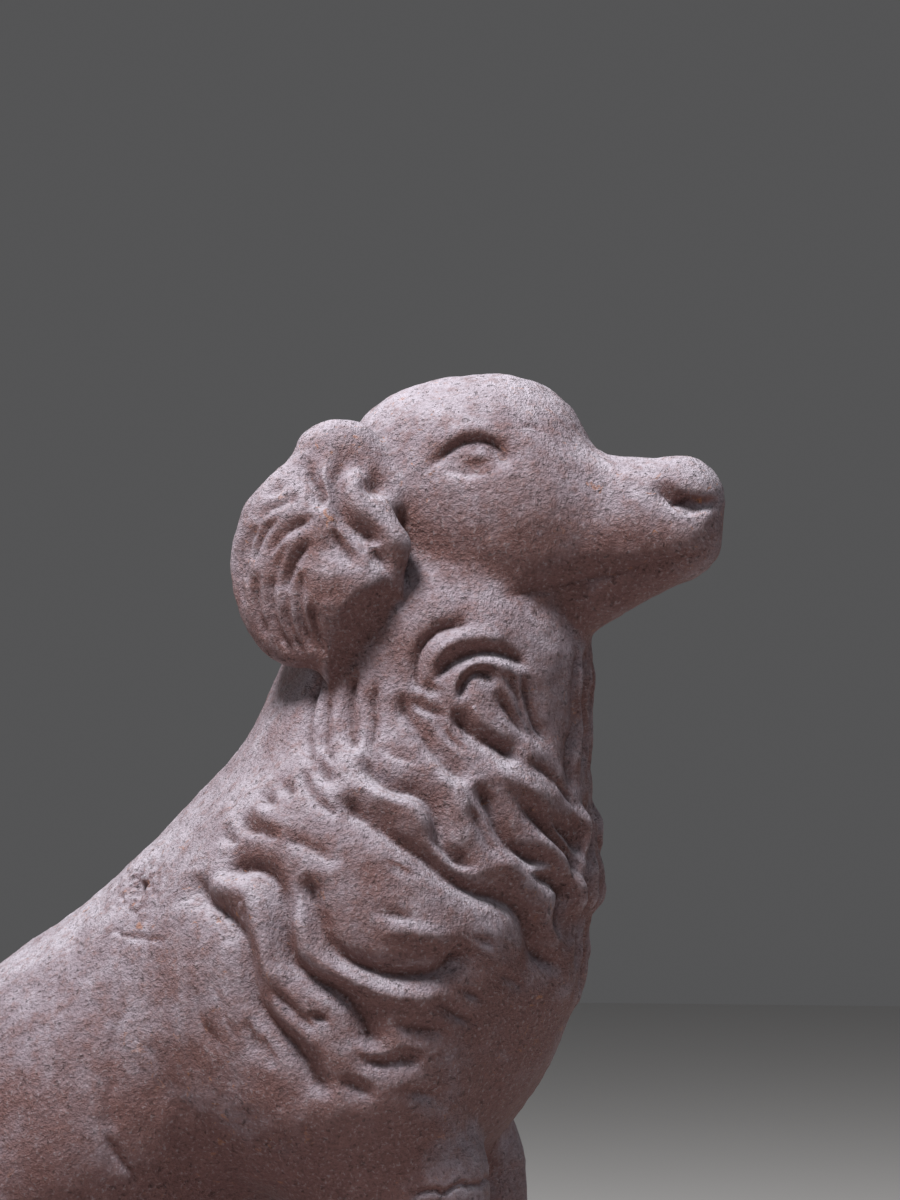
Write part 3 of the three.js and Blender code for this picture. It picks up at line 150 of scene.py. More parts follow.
# Carving that follows lines. A row's line is smooth through its points. It is a valley, or with "rise" a
# ridge. The neck's points are how far along its unrolled side they lie and how high. The front's points are
# how far round from the middle of the side they lie and how high.
NECK_LINES = [
    {"depth": 9, "width": 5.4, "line": [
        [194, 513], [204, 502], [216, 493], [228, 483], [241, 472], [252, 460], [264, 451], [277, 446],
        [287, 438], [291, 424], [292, 412], [303, 398],
    ]},
    {"depth": 8, "width": 4.8, "line": [
        [203, 537], [215, 525], [228, 517], [242, 514], [250, 507], [253, 495], [253, 482], [260, 471],
        [271, 462],
    ]},
    {"depth": 7.2, "width": 4, "line": [
        [280, 518], [286, 505], [289, 491], [294, 478], [304, 470], [316, 470],
    ]},
    {"depth": 5.6, "width": 3.4, "line": [
        [305, 508], [313, 497], [320, 487], [328, 477], [332, 465], [333, 450],
    ]},
    {"depth": 6.4, "width": 3.4, "line": [[322, 496], [334, 487], [342, 474], [346, 458], [344, 436]]},
    {"depth": 7.2, "width": 3.6, "line": [[296, 461], [309, 457], [317, 448], [312, 434], [307, 418]]},
    {"depth": 9, "width": 5, "line": [
        [124, 462], [133, 466], [144, 467], [155, 462], [161, 451], [163, 438], [163, 425], [165, 411],
        [171, 402], [180, 395], [188, 388], [194, 378], [197, 366], [197, 350],
    ]},
    {"depth": 7.5, "width": 4.6, "line": [
        [103, 462], [112, 447], [125, 438], [136, 428], [141, 416], [143, 402], [144, 389], [147, 378],
        [154, 367], [161, 357], [166, 347], [170, 336], [175, 322],
    ]},
    {"depth": 7.5, "width": 4.6, "line": [
        [175, 463], [180, 447], [182, 434], [185, 422], [191, 412], [200, 405], [212, 400], [225, 399],
        [236, 402], [245, 411], [250, 422],
    ]},
    {"depth": 4.1, "width": 3, "line": [[228, 386], [235, 378], [244, 371], [252, 369]]},
    {"depth": 3.6, "width": 2.6, "line": [[240, 393], [249, 387], [257, 382]]},
    {"depth": 4.1, "width": 3, "line": [[168, 379], [176, 373], [185, 369]]},
    {"depth": 4.8, "width": 4, "line": [[188, 354], [198, 346], [210, 347], [222, 352]]},
    {"depth": 3.9, "width": 4, "line": [[206, 371], [220, 366], [236, 366]]},
    {"depth": 4.1, "width": 4, "line": [[178, 342], [186, 331], [196, 322]]},
    {"depth": 3.6, "width": 3.4, "line": [[204, 332], [214, 326], [226, 324]]},
    {"depth": 5.6, "width": 4.5, "line": [[222, 574], [234, 560], [248, 546], [263, 530], [278, 518]]},
    {"depth": 4.8, "width": 3.4, "line": [[170, 541], [177, 530], [187, 521], [193, 524]]},
    {"depth": 4, "width": 2.7, "line": [[162, 530], [170, 519], [178, 510], [187, 503], [198, 494]]},
    {"depth": 3.6, "width": 2.6, "line": [[145, 521], [157, 516], [170, 510]]},
    {"depth": 3.6, "width": 2.6, "line": [[136, 512], [146, 508], [157, 503]]},
    {"depth": 4.4, "width": 2.6, "line": [[126, 499], [137, 491], [151, 487], [163, 482]]},
    {"depth": 3.4, "width": 2.6, "line": [[163, 482], [175, 480], [186, 474], [194, 466]]},
    {"depth": 3.8, "width": 2.6, "line": [[114, 494], [120, 486], [128, 482], [137, 481]]},
    {"depth": 2.6, "width": 2.6, "line": [[205, 437], [218, 437], [233, 431]]},
    {"depth": 2.7, "width": 2.3, "line": [[253, 424], [262, 419], [268, 413]]},
    {"depth": 3.4, "width": 2.6, "line": [[154, 396], [158, 386], [166, 376], [176, 362]]},
    {"depth": 3.4, "width": 2.6, "line": [[137, 378], [141, 363], [147, 345]]},
    {"depth": 3.2, "width": 2.6, "line": [[145, 370], [148, 356], [155, 338]]},
    {"depth": 3, "width": 2.6, "line": [[113, 374], [119, 360], [124, 349]]},
    {"depth": 3.6, "width": 3, "line": [[150, 588], [146, 570], [151, 552], [164, 537], [176, 527]]},
    {"depth": 3.8, "width": 3, "line": [[168, 590], [163, 572], [167, 554], [178, 538], [190, 528]]},
    {"depth": 4.8, "width": 3.4, "line": [[184, 590], [181, 574], [188, 556], [196, 545], [203, 537]]},
    {"depth": 4, "width": 3, "line": [
        [204, 584], [203, 570], [208, 556], [211, 540], [218, 530], [227, 524],
    ]},
    {"depth": 4.8, "width": 3.4, "line": [
        [252, 580], [260, 589], [270, 595], [284, 599], [300, 600], [319, 597], [333, 590],
    ]},
    {"depth": 4.8, "width": 3, "line": [[275, 566], [277, 579], [286, 587], [297, 585], [302, 577]]},
    {"depth": 6.4, "width": 4.4, "line": [[268, 566], [276, 556], [288, 547], [302, 540], [314, 530]]},
    {"depth": 4.8, "width": 3, "line": [[302, 577], [310, 566], [318, 556], [328, 544]]},
    {"depth": 4.8, "width": 3, "line": [[326, 588], [329, 572], [334, 556], [342, 540]]},
    {"depth": 3.2, "width": 2.6, "line": [[318, 532], [330, 526], [342, 514], [350, 498]]},
    {"rise": 3.4, "width": 5, "line": [
        [270, 566], [273, 582], [282, 590], [297, 594], [311, 591], [321, 582],
    ]},
    {"rise": 3, "width": 5.5, "line": [[284, 570], [292, 558], [304, 548], [316, 540]]},
    {"rise": 3.4, "width": 7, "line": [[224, 562], [240, 545], [258, 526], [266, 508], [268, 490]]},
    {"rise": 4, "width": 6, "line": [[206, 520], [220, 510], [236, 504], [244, 494], [246, 482]]},
    {"rise": 4.6, "width": 7, "line": [[288, 534], [300, 522], [316, 514], [326, 500]]},
    {"rise": 3.4, "width": 6, "line": [[280, 482], [288, 468], [300, 464]]},
    {"rise": 4, "width": 5, "line": [[304, 489], [314, 480], [322, 468], [326, 452], [322, 432]]},
    {"rise": 4, "width": 7, "line": [
        [112, 455], [128, 452], [142, 450], [150, 438], [153, 420], [154, 404], [160, 388],
    ]},
    {"rise": 4, "width": 6, "line": [
        [168, 446], [172, 430], [174, 416], [182, 404], [196, 396], [212, 388], [226, 388], [238, 393],
    ]},
    {"rise": 4, "width": 7, "line": [[206, 425], [220, 428], [236, 424], [250, 418]]},
    {"rise": 2.9, "width": 5, "line": [[172, 388], [182, 381], [188, 374]]},
    {"rise": 2.9, "width": 4, "line": [[150, 388], [158, 374], [168, 362], [176, 348]]},
    {"rise": 2.9, "width": 5, "line": [[132, 508], [144, 500], [158, 494], [174, 490]]},
    {"depth": 4.5, "width": 3.4, "line": [
        [244, 574], [236, 588], [238, 602], [248, 612], [264, 617], [284, 619],
    ]},
    {"rise": 3.2, "width": 5, "line": [[248, 588], [258, 602], [274, 608], [296, 609], [318, 605]]},
    {"depth": 3.8, "width": 3, "line": [[230, 574], [242, 567], [256, 562], [270, 558]]},
    {"depth": 3.2, "width": 2.8, "line": [[236, 584], [248, 578], [262, 573]]},
    {"depth": 3, "width": 3, "line": [[252, 570], [258, 558], [270, 544], [284, 534]]},
    {"depth": 3, "width": 2.8, "line": [[310, 590], [320, 574], [326, 556], [336, 538]]},
    {"depth": 3, "width": 3, "line": [[268, 506], [276, 494], [280, 480], [288, 466]]},
    {"depth": 2.6, "width": 3, "line": [[212, 546], [224, 538], [236, 534], [246, 526]]},
    {"depth": 2.6, "width": 2.8, "line": [[214, 474], [226, 466], [240, 456]]},
    {"depth": 2.4, "width": 2.6, "line": [[262, 402], [272, 396], [280, 386]]},
    {"depth": 2.4, "width": 2.6, "line": [[150, 452], [153, 438], [154, 424]]},
]
FRONT_LINES = [
    {"depth": 3.4, "width": 4, "line": [[154, 606], [148, 580], [155, 556], [149, 534], [156, 510]]},
    {"depth": 3.4, "width": 4, "line": [[150, 500], [158, 480], [150, 456], [158, 430], [154, 408]]},
    {"depth": 4, "width": 4, "line": [[170, 606], [164, 578], [172, 550], [165, 524]]},
    {"depth": 4.5, "width": 4, "line": [[166, 512], [172, 488], [164, 462], [170, 432], [166, 396]]},
    {"depth": 4, "width": 4, "line": [[184, 600], [179, 572], [185, 546], [178, 520]]},
    {"depth": 4.5, "width": 4, "line": [[184, 506], [178, 478], [184, 446], [180, 410], [184, 380]]},
    {"rise": 3, "width": 8, "line": [[160, 598], [157, 572], [163, 548], [157, 524]]},
    {"rise": 3, "width": 8, "line": [[177, 600], [172, 574], [178, 548], [173, 522]]},
    {"rise": 6.5, "width": 8, "line": [[158, 508], [165, 482], [157, 456], [164, 430]]},
    {"rise": 6.5, "width": 8, "line": [[175, 506], [179, 480], [172, 456], [178, 430]]},
    {"rise": 3.5, "width": 8, "line": [[160, 424], [164, 400], [160, 372]]},
    {"rise": 3.5, "width": 8, "line": [[176, 424], [174, 400], [177, 366]]},
]
# The ear's and the face's points are along and above the head's own middle.
EAR_LINES = [
    {"depth": 7, "width": 4.6, "line": [
        [-58, 8], [-62, -5], [-61, -15], [-60, -25], [-54, -36], [-47, -43], [-38, -49], [-29, -55],
    ]},
    {"depth": 5.2, "width": 3.3, "line": [[-60, -38], [-58, -48], [-53, -56], [-48, -64], [-43, -71]]},
    {"depth": 4.5, "width": 3.1, "line": [[-39, -51], [-34, -59], [-28, -67], [-25, -76]]},
    {"depth": 6.8, "width": 4.4, "line": [[-86, 6], [-80, -5], [-73, -15], [-68, -25], [-65, -35]]},
    {"depth": 2.7, "width": 2.5, "line": [[-79, -23], [-91, -25], [-104, -30], [-116, -38]]},
    {"depth": 3.6, "width": 2.6, "line": [[-70, -32], [-79, -39], [-88, -44], [-97, -52], [-104, -64]]},
    {"depth": 4.5, "width": 3.1, "line": [[-70, -50], [-78, -56], [-84, -64], [-89, -74], [-92, -88]]},
    {"depth": 3.3, "width": 2.5, "line": [[-94, -34], [-104, -42], [-112, -54], [-116, -68]]},
    {"depth": 4.2, "width": 2.7, "line": [[-78, -66], [-81, -78], [-82, -92], [-80, -108], [-74, -124]]},
    {"depth": 4, "width": 2.7, "line": [[-98, -66], [-101, -80], [-101, -96], [-96, -112], [-86, -126]]},
    {"depth": 3.3, "width": 2.5, "line": [[-110, -70], [-113, -84], [-111, -100], [-104, -114]]},
    {"depth": 3.8, "width": 2.7, "line": [[-90, -84], [-91, -98], [-88, -112], [-80, -127]]},
    {"depth": 3, "width": 2.5, "line": [[-122, -44], [-126, -60], [-125, -78], [-120, -94]]},
    {"depth": 3.8, "width": 2.7, "line": [[-72, -86], [-73, -100], [-71, -114], [-66, -128]]},
    {"rise": 4, "width": 5, "line": [
        [-56, -2], [-52, -16], [-45, -28], [-35, -38], [-25, -48], [-16, -60], [-13, -74],
    ]},
    {"rise": 2.5, "width": 4, "line": [[-68, 4], [-70, -8], [-64, -22], [-63, -34], [-58, -44]]},
    {"rise": 3.5, "width": 15, "line": [[-66, -56], [-61, -72], [-57, -88]]},
    {"rise": 2, "width": 5, "line": [[-82, -44], [-91, -54], [-96, -68]]},
    {"depth": 4.6, "width": 4.4, "line": [[-44, -4], [-40, -10], [-38, -18], [-33, -26]]},
    {"depth": 2.8, "width": 2.4, "line": [[-84, -46], [-93, -58], [-98, -74], [-99, -90]]},
    {"depth": 2.8, "width": 2.4, "line": [[-108, -36], [-118, -50], [-121, -66], [-119, -84]]},
    {"depth": 2.6, "width": 2.4, "line": [[-87, -62], [-91, -76], [-91, -90], [-85, -108]]},
    {"depth": 2.6, "width": 2.4, "line": [[-104, -86], [-103, -100], [-96, -114]]},
    {"depth": 2.6, "width": 2.4, "line": [[-90, -10], [-98, -16], [-110, -22]]},
]
FACE_LINES = [
    {"depth": 3.8, "width": 2.8, "line": [
        [-13, -4], [-4, 2], [4, 8.5], [11, 12.5], [19, 14], [27, 13], [33, 9], [38, 3], [43, -4],
    ]},
    {"depth": 3.2, "width": 3, "line": [[32, 11], [38, 5], [43, -2]]},
    {"rise": 2.2, "width": 4.2, "line": [[-8, 6], [2, 15], [14, 21], [26, 20], [37, 13]]},
    {"depth": 1.4, "width": 2, "line": [[-6, -2], [5, -5.5], [18, -6], [30, -5], [40, -3]]},
    {"depth": 6.5, "width": 3.4, "line": [
        [128, -12], [132, -18], [139, -24], [147, -26.5], [155, -26], [161, -23],
    ]},
    {"depth": 1.7, "width": 2.6, "line": [
        [34, -89], [42, -85], [60, -80], [80, -75], [100, -70.5], [120, -66], [140, -62], [160, -58],
    ]},
    {"depth": 2.5, "width": 9, "line": [[52, 34], [54, 42]]},
]
STROKE = {"deep": 1.3, "round": 0.55, "swell": 1.1, "spacing": 2.5, "reach": 4}
STROKE_ENDS = {"valley": (-2, 14), "ridge": (0, 16)}
# Each flat map has two corners and the spacing of its heights.
NECK_MAP = {"low": (60, 250), "high": (400, 640), "cell": 0.75}
FRONT_MAP = {"low": (100, 330), "high": (220, 640), "cell": 0.75}
EAR_MAP = {"low": (-150, -160), "high": (10, 50), "cell": 0.5}
FACE_MAP = {"low": (-40, -120), "high": (190, 70), "cell": 0.5}
# How far a place is taken to lie from a line that reaches nowhere near it.
FAR = 1000.0
# Where the carving fades in, each from the first number to the second.
NECK_SIDE_FADE = (-166, -150)
NECK_FRONT_FADE = (138, 152)
HAIR_LOW_FADE = (HAIR_LOW, HAIR_LOW + 38)
HAIR_HIGH_FADE = (0, 16)
HAIR_HEAD_FADE = (0, 8)
FACE_SIDE_FADE = (8, 22)
FACE_EAR_FADE = (0, 8)
FACE_LOW_FADE = (600, 625)
EAR_SIDE_FADE = (60, 76)
EAR_IN_FADE = (-7, -3)
EAR_LOW_FADE = (560, 570)
# The finer marks on the near side: the cracks, the casting seam and the chip on the back.
CRACKS = [
    {"name": "crack below the chip", "at": [34, 424], "to": [82, 418], "width": 1.4, "depth": 1.8},
    {"name": "seam, upper", "at": [44, 444], "to": [48, 380], "width": 2.6, "depth": 1.3},
    {"name": "seam, lower", "at": [50, 384], "to": [46, 290], "width": 3.4, "depth": 1.8},
    {"name": "seam's foot", "at": [44, 300], "to": [62, 262], "width": 3, "depth": 2.6},
    {"name": "flank scratch", "at": [100, 396], "to": [124, 330], "width": 1.5, "depth": 1.2},
    {"name": "flank scratch", "at": [112, 400], "to": [138, 352], "width": 1.5, "depth": 1.2},
    {"name": "elbow crack", "at": [236, 262], "to": [292, 272], "width": 1.8, "depth": 3},
    {"name": "brow crack", "at": [298, 769], "to": [310, 762], "width": 1.2, "depth": 1.6},
    {"name": "brow crack", "at": [298, 746], "to": [308, 740], "width": 1.2, "depth": 1.4},
]
CRACK_WANDER = 2.5
CRACK_ENDS = 0.2
CHIP = {"at": [52, 452], "hole": 4.5, "depth": 9, "broken": 17, "rough": 2.8, "finer": 1.7, "wobble": 3.5}
NEAR_SIDE = (20, 50)
# The casting's lumps and grit. Each has a seed and a size, and a lump also has its height.
LUMP_SIZES = [(3, 46, 1.3), (5, 19, 0.7), (8, 8, 0.45)]
GRIT_SIZE = (11, 4.2)
GRIT_HEIGHT = 0.34
LATTICE = 32
LATTICE_START = 200
# How the fine mesh is laid on the figure. Points lower than STANDING_PARTS stay on the plinth.
MERGE_WITHIN = 0.00002
SMOOTHING = {"factor": 0.5, "iterations": 8}
ROUNDS = 3
NUDGE = 0.3
LEAST_SLOPE = 0.3
MOST_MOVE = 8
STANDING_PARTS = 0.6
HOLLOW_REACH = 6
# The plinth's points beyond PLINTH_EDGE of its half size are on a face. Those near its foot stay flat.
PLINTH_EDGE = 0.97
PLINTH_FOOT = 0.002
PLINTH_LUMPS = 0.5
PLINTH_SHARP = 40
PLINTH_DARKER = 0.25
SHEEN_LEVEL = 0.3
GRAIN_DEPTH = 0.0032
METAL_SHARE = 0.08
FLOOR_SIZE = 16
SENSOR = 36
SKY_COLOUR = (0.9, 0.9, 0.92, 1)
SKY_STRENGTH = 0.1
# The camera looks at the middle of the photographed part. In metres, along the dog and above the plinth.
VIEW_ALONG = 0.2212
VIEW_UP = 0.637 + PLINTH_TOP
# Each light has its place from there (to the right, towards the camera and up), its size, power and colour.
LIGHTS = [
    ("key", (-0.9, 1.0, 2.4), 0.7, 160, (1.0, 0.99, 0.99)),
    ("front", (2.2, 1.4, 1.3), 1.6, 8, (0.98, 0.98, 1.0)),
    ("rear", (-1.6, -1.6, 1.2), 1.4, 10, (1.0, 1.0, 1.0)),
]


# Distances. A set of points is three arrays of numbers: x, y and z.
def step(value, low, high):
    share = np.clip((value - low) / (high - low), 0, 1)
    return share * share * (3 - 2 * share)


def bell(off, width):
    return np.exp(-((off / width) ** 2))


def length(*sides):
    return np.sqrt(sum(side * side for side in sides))


def blend(a, b, soft):
    near = np.maximum(soft - np.abs(a - b), 0)
    return np.minimum(a, b) - (near * near / (4 * soft) if soft else 0)


def carve(a, b, soft):
    return -blend(-a, b, soft)


def egg_distance(row, x, y, z):
    sine = math.sin(math.radians(row.get("tilt", 0)))
    cosine = math.cos(math.radians(row.get("tilt", 0)))
    middle, (a, b, c) = row["egg"], row["reach"]
    dx, dy, dz = x - middle[0], y - middle[1], z - middle[2]
    u, w = dx * cosine + dz * sine, dz * cosine - dx * sine
    whole = length(u / a, dy / b, w / c)
    fall = length(u / a**2, dy / b**2, w / c**2)
    return whole * (whole - 1) / np.maximum(fall, 1e-9)


def bone_distance(row, x, y, z):
    start, wide, thick = row["bone"], row.get("wide", 1), row["thick"]
    run = [row["to"][i] - start[i] for i in range(3)]
    run[1] /= wide
    dx, dy, dz = x - start[0], (y - start[1]) / wide, z - start[2]
    share = np.clip((dx * run[0] + dy * run[1] + dz * run[2]) / sum(r * r for r in run), 0, 1)
    off = length(dx - share * run[0], dy - share * run[1], dz - share * run[2])
    return off - (thick[0] + share * (thick[1] - thick[0]))


def together(rows, x, y, z):
    whole = None
    for row in rows:
        one = egg_distance(row, x, y, z) if "egg" in row else bone_distance(row, x, y, z)
        if whole is None:
            whole = one
        elif row.get("carved"):
            whole = carve(whole, one, row["soft"])
        else:
            whole = blend(whole, one, row["soft"])
    return whole


def tail_rows():
    joints = []
    for i in range(TAIL["joints"] + 1):
        t = i / TAIL["joints"]
        turn = math.radians(TAIL["from"] + TAIL["sweep"] * t)
        at = [
            TAIL["middle"][0] + TAIL["reach"][0] * math.cos(turn),
            TAIL["middle"][1] + TAIL["reach"][1] * math.sin(turn),
            TAIL_LIFT["root"] - TAIL_LIFT["drop"] * min(t * TAIL_LIFT["quick"], 1) - TAIL_LIFT["sink"] * t,
        ]
        swell = math.sin(math.pi * t) * TAIL_THICK["swell"]
        joints.append((at, TAIL_THICK["root"] + swell - TAIL_THICK["taper"] * t**3))
    pairs = zip(joints, joints[1:])
    return [{"bone": a[0], "to": b[0], "thick": [a[1], b[1]], "soft": TAIL["soft"]} for a, b in pairs]


def body_distance(x, y, z):
    whole = blend(together(BODY, x, y, z), together(FORELEG, x, y, z), LEG_SOFT)
    whole = blend(whole, together(HAUNCH, x, y, z), HAUNCH_SOFT)
    return blend(whole, together(HINDFOOT, x, y, z), LEG_SOFT)


def ear_distance(x, y, z):
    way = EAR_BEVEL["way"]
    beyond = way[0] * x + way[1] * y + way[2] * z - EAR_BEVEL["out"]
    return carve(together(EAR, x, y, z), -beyond, EAR_BEVEL["soft"])


# Hair. It is carved over the neck, which is unrolled about a leaning axis.
def turned(x, y, z):
    axis = AXIS["across"] + AXIS["lean"] * (np.clip(z, AXIS["low"], AXIS["high"]) - AXIS["about"])
    return axis, GIRTH * (math.pi / 2 - np.arctan2(np.abs(y), x - axis))


class Relief:
    """A flat map of heights, on which lines are drawn as valleys and ridges."""

    def __init__(self, rows, low, high, cell):
        self.low, self.cell = np.array(low, float), cell
        across = np.arange(low[0], high[0] + cell, cell)
        up = np.arange(low[1], high[1] + cell, cell)
        self.across, self.up = np.meshgrid(across, up, indexing="ij")
        valley, ridge = np.zeros_like(self.across), np.zeros_like(self.across)
        for row in rows:
            reach = STROKE["swell"] * row["width"] * STROKE["reach"]
            off, left = self.nearest(smooth_line(row["line"]), reach)
            share = off / row["width"]
            if "rise" in row:
                swell = row["rise"] * np.exp(-share * share) * step(left, *STROKE_ENDS["ridge"])
                ridge = np.maximum(ridge, swell)
            else:
                bottom = STROKE["round"]
                cut = np.exp(-(np.hypot(share, bottom) - bottom) / STROKE["swell"])
                deep = STROKE["deep"] * row["depth"]
                valley = np.maximum(valley, deep * cut * step(left, *STROKE_ENDS["valley"]))
        self.height = ridge - valley

    def nearest(self, line, reach):
        """How far each place lies from the line, and its nearest point from the line's nearer end."""
        found = np.full(self.across.shape, FAR)
        left = np.zeros(self.across.shape)
        runs = [math.dist(a, b) for a, b in zip(line, line[1:])]
        whole, gone = sum(runs), 0
        for start, end, run in zip(line, line[1:], runs):
            low = (np.minimum(start, end) - reach - self.low) / self.cell
            high = (np.maximum(start, end) + reach - self.low) / self.cell + 1
            box = tuple(slice(max(int(a), 0), max(int(b), 0)) for a, b in zip(low, high))
            dx, dy = self.across[box] - start[0], self.up[box] - start[1]
            way = ((end[0] - start[0]) / run, (end[1] - start[1]) / run)
            t = np.clip(dx * way[0] + dy * way[1], 0, run)
            off = np.hypot(dx - t * way[0], dy - t * way[1])
            nearer = off < found[box]
            found[box] = np.where(nearer, off, found[box])
            left[box] = np.where(nearer, np.minimum(gone + t, whole - gone - t), left[box])
            gone += run
        return found, left

    def at(self, across, up):
        values = self.height
        shape = np.array(values.shape) - 1.001
        a = np.clip((across - self.low[0]) / self.cell, 0, shape[0])
        b = np.clip((up - self.low[1]) / self.cell, 0, shape[1])
        i, j = a.astype(int), b.astype(int)
        a, b = a - i, b - j
        near = values[i, j] * (1 - b) + values[i, j + 1] * b
        far = values[i + 1, j] * (1 - b) + values[i + 1, j + 1] * b
        return near * (1 - a) + far * a


def smooth_line(points):
    """A smooth line through the points, as short straight pieces."""
    ends = [points[0], *points, points[-1]]
    line = [tuple(points[0])]
    for i in range(1, len(points)):
        before, start, end, after = ends[i - 1], ends[i], ends[i + 1], ends[i + 2]
        pieces = max(round(math.dist(start, end) / STROKE["spacing"]), 1)
        for k in range(1, pieces + 1):
            t = k / pieces
            shares = (
                t * (2 * t - t * t - 1) / 2,
                (t * t * (3 * t - 5) + 2) / 2,
                t * (t * (4 - 3 * t) + 1) / 2,
                t * t * (t - 1) / 2,
            )
            four = (before, start, end, after)
            line.append(tuple(sum(share * p[axis] for share, p in zip(shares, four)) for axis in (0, 1)))
    return line


NECK_RELIEF = Relief(NECK_LINES, **NECK_MAP)
FRONT_RELIEF = Relief(FRONT_LINES, **FRONT_MAP)
EAR_RELIEF = Relief(EAR_LINES, **EAR_MAP)
FACE_RELIEF = Relief(FACE_LINES, **FACE_MAP)


def hair(x, y, z):
    axis, turn = turned(x, y, z)
    height = NECK_RELIEF.at(axis + turn, z) * step(-turn, *NECK_SIDE_FADE)
    height += FRONT_RELIEF.at(turn, z) * step(turn, *NECK_FRONT_FADE)
    return height * step(z, *HAIR_LOW_FADE) * step(HAIR_HIGH - z, *HAIR_HIGH_FADE)


def face_carving(x, y, z):
    return FACE_RELIEF.at(x, z) * step(y, *FACE_SIDE_FADE)


def ear_carving(x, y, z):
    return EAR_RELIEF.at(x, z) * step(y, *EAR_SIDE_FADE)


def toe_carving(x, y, z):
    height = np.zeros_like(x)
    for toes in TOES:
        reached = step(x, toes["front"], toes["front"] + TOE_FRONT_FADE)
        for side in (-1, 0, 1):
            off = y - toes["middle"] - side * toes["gap"]
            height -= TOE_GROOVE["depth"] * bell(off, TOE_GROOVE["width"]) * reached
    return height * step(TOE_GROOVE["high"] - z, *TOE_HIGH_FADE)


class Lumps:
    """Smooth seeded unevenness through space, one lattice of random heights."""

    def __init__(self, seed, size):
        self.lattice = np.random.default_rng(seed).uniform(-1, 1, (LATTICE, LATTICE, LATTICE))
        self.size = size

    def at(self, x, y, z):
        cells, shares = [], []
        for value in (x, y, z):
            place = value / self.size + LATTICE_START
            cell = np.floor(place)
            cells.append(cell.astype(int))
            share = place - cell
            shares.append(share * share * (3 - 2 * share))
        total = 0
        for i in (0, 1):
            for j in (0, 1):
                for k in (0, 1):
                    bits = (i, j, k)
                    corner = self.lattice[tuple((cell + bit) % LATTICE for cell, bit in zip(cells, bits))]
                    weight = 1
                    for bit, share in zip(bits, shares):
                        weight = weight * (share if bit else 1 - share)
                    total = total + corner * weight
        return total


LUMPS = [(Lumps(seed, size), height) for seed, size, height in LUMP_SIZES]
GRIT = Lumps(*GRIT_SIZE)


def wear(x, y, z):
    """The casting's unevenness, its seam down the flank, the chip beside it and the cracks."""
    height = sum(lump.at(x, y, z) * size for lump, size in LUMPS)
    height += GRIT_HEIGHT * GRIT.at(x, y, z)
    near_side = step(-y, *NEAR_SIDE)
    for cut in CRACKS:
        run = np.hypot(cut["to"][0] - cut["at"][0], cut["to"][1] - cut["at"][1])
        along = [(cut["to"][i] - cut["at"][i]) / run for i in (0, 1)]
        t = ((x - cut["at"][0]) * along[0] + (z - cut["at"][1]) * along[1]) / run
        off = (z - cut["at"][1]) * along[0] - (x - cut["at"][0]) * along[1]
        off = off + CRACK_WANDER * LUMPS[-1][0].at(x, z, y)
        deep = cut["depth"] * bell(off, cut["width"])
        height -= deep * step(t, 0, CRACK_ENDS) * step(1 - t, 0, CRACK_ENDS) * near_side
    away = length(x - CHIP["at"][0], z - CHIP["at"][1])
    broken = bell(away, CHIP["broken"]) * near_side
    height += CHIP["rough"] * broken * GRIT.at(x * CHIP["finer"], y, z * CHIP["finer"])
    edge = away + CHIP["wobble"] * GRIT.at(z, x, y)
    return height - CHIP["depth"] * bell(edge, CHIP["hole"]) * broken


def head_place(x, y, z):
    """Where a point lies from the head's own middle, with both its sides alike."""
    yaw = math.radians(HEAD_YAW)
    dx, dy = x - HEAD_AT[0], y - HEAD_AT[1]
    across = np.abs(dy * math.cos(yaw) - dx * math.sin(yaw))
    return dx * math.cos(yaw) + dy * math.sin(yaw), across, z - HEAD_AT[2]


TAIL_ROWS = tail_rows()


def figure(x, y, z):
    """The distance from the dog's surface in parts, before it is carved. Negative is inside."""
    place = head_place(x, y, z)
    whole = blend(body_distance(x, np.abs(y), z), together(HEAD, *place), HEAD_SOFT)
    whole = blend(whole, ear_distance(*place), EAR_SOFT)
    return blend(whole, together(TAIL_ROWS, x, y, z), TAIL_SOFT)


def carved_height(x, y, z):
    """How far the carving and the casting's wear stand over the dog's surface, or under it."""
    place = head_place(x, y, z)
    head = together(HEAD, *place)
    ear = ear_distance(*place)
    height = hair(x, y, z) * step(np.minimum(head, ear), *HAIR_HEAD_FADE)
    height += face_carving(*place) * step(ear, *FACE_EAR_FADE) * step(z, *FACE_LOW_FADE)
    height += ear_carving(*place) * step(-ear, *EAR_IN_FADE) * step(z, *EAR_LOW_FADE)
    return height + toe_carving(x, np.abs(y), z) + wear(x, y, z)


# Meshes
def deselect():
    if bpy.context.object and bpy.context.object.mode != "OBJECT":
        bpy.ops.object.mode_set(mode="OBJECT")
    bpy.ops.object.select_all(action="DESELECT")


def only(piece):
    deselect()
    piece.select_set(True)
    bpy.context.view_layer.objects.active = piece


def apply_modifier(piece, kind, **settings):
    only(piece)
    modifier = piece.modifiers.new(kind.title(), kind)
    for name, value in settings.items():
        setattr(modifier, name, value)
    bpy.ops.object.modifier_apply(modifier=modifier.name)


def copy_of_node(node, name):
    """A new piece with the node's own shape, its loose triangles joined."""
    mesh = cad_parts[node].data.copy()
    piece = bpy.data.objects.new(name, mesh)
    bpy.context.scene.collection.objects.link(piece)
    mesh.materials.clear()
    only(piece)
    bpy.ops.object.mode_set(mode="EDIT")
    bpy.ops.mesh.select_all(action="SELECT")
    bpy.ops.mesh.remove_doubles(threshold=MERGE_WITHIN)
    bpy.ops.object.mode_set(mode="OBJECT")
    return piece


def points_of(piece):
    points = np.empty(len(piece.data.vertices) * 3)
    piece.data.vertices.foreach_get("co", points)
    return points.reshape(-1, 3)


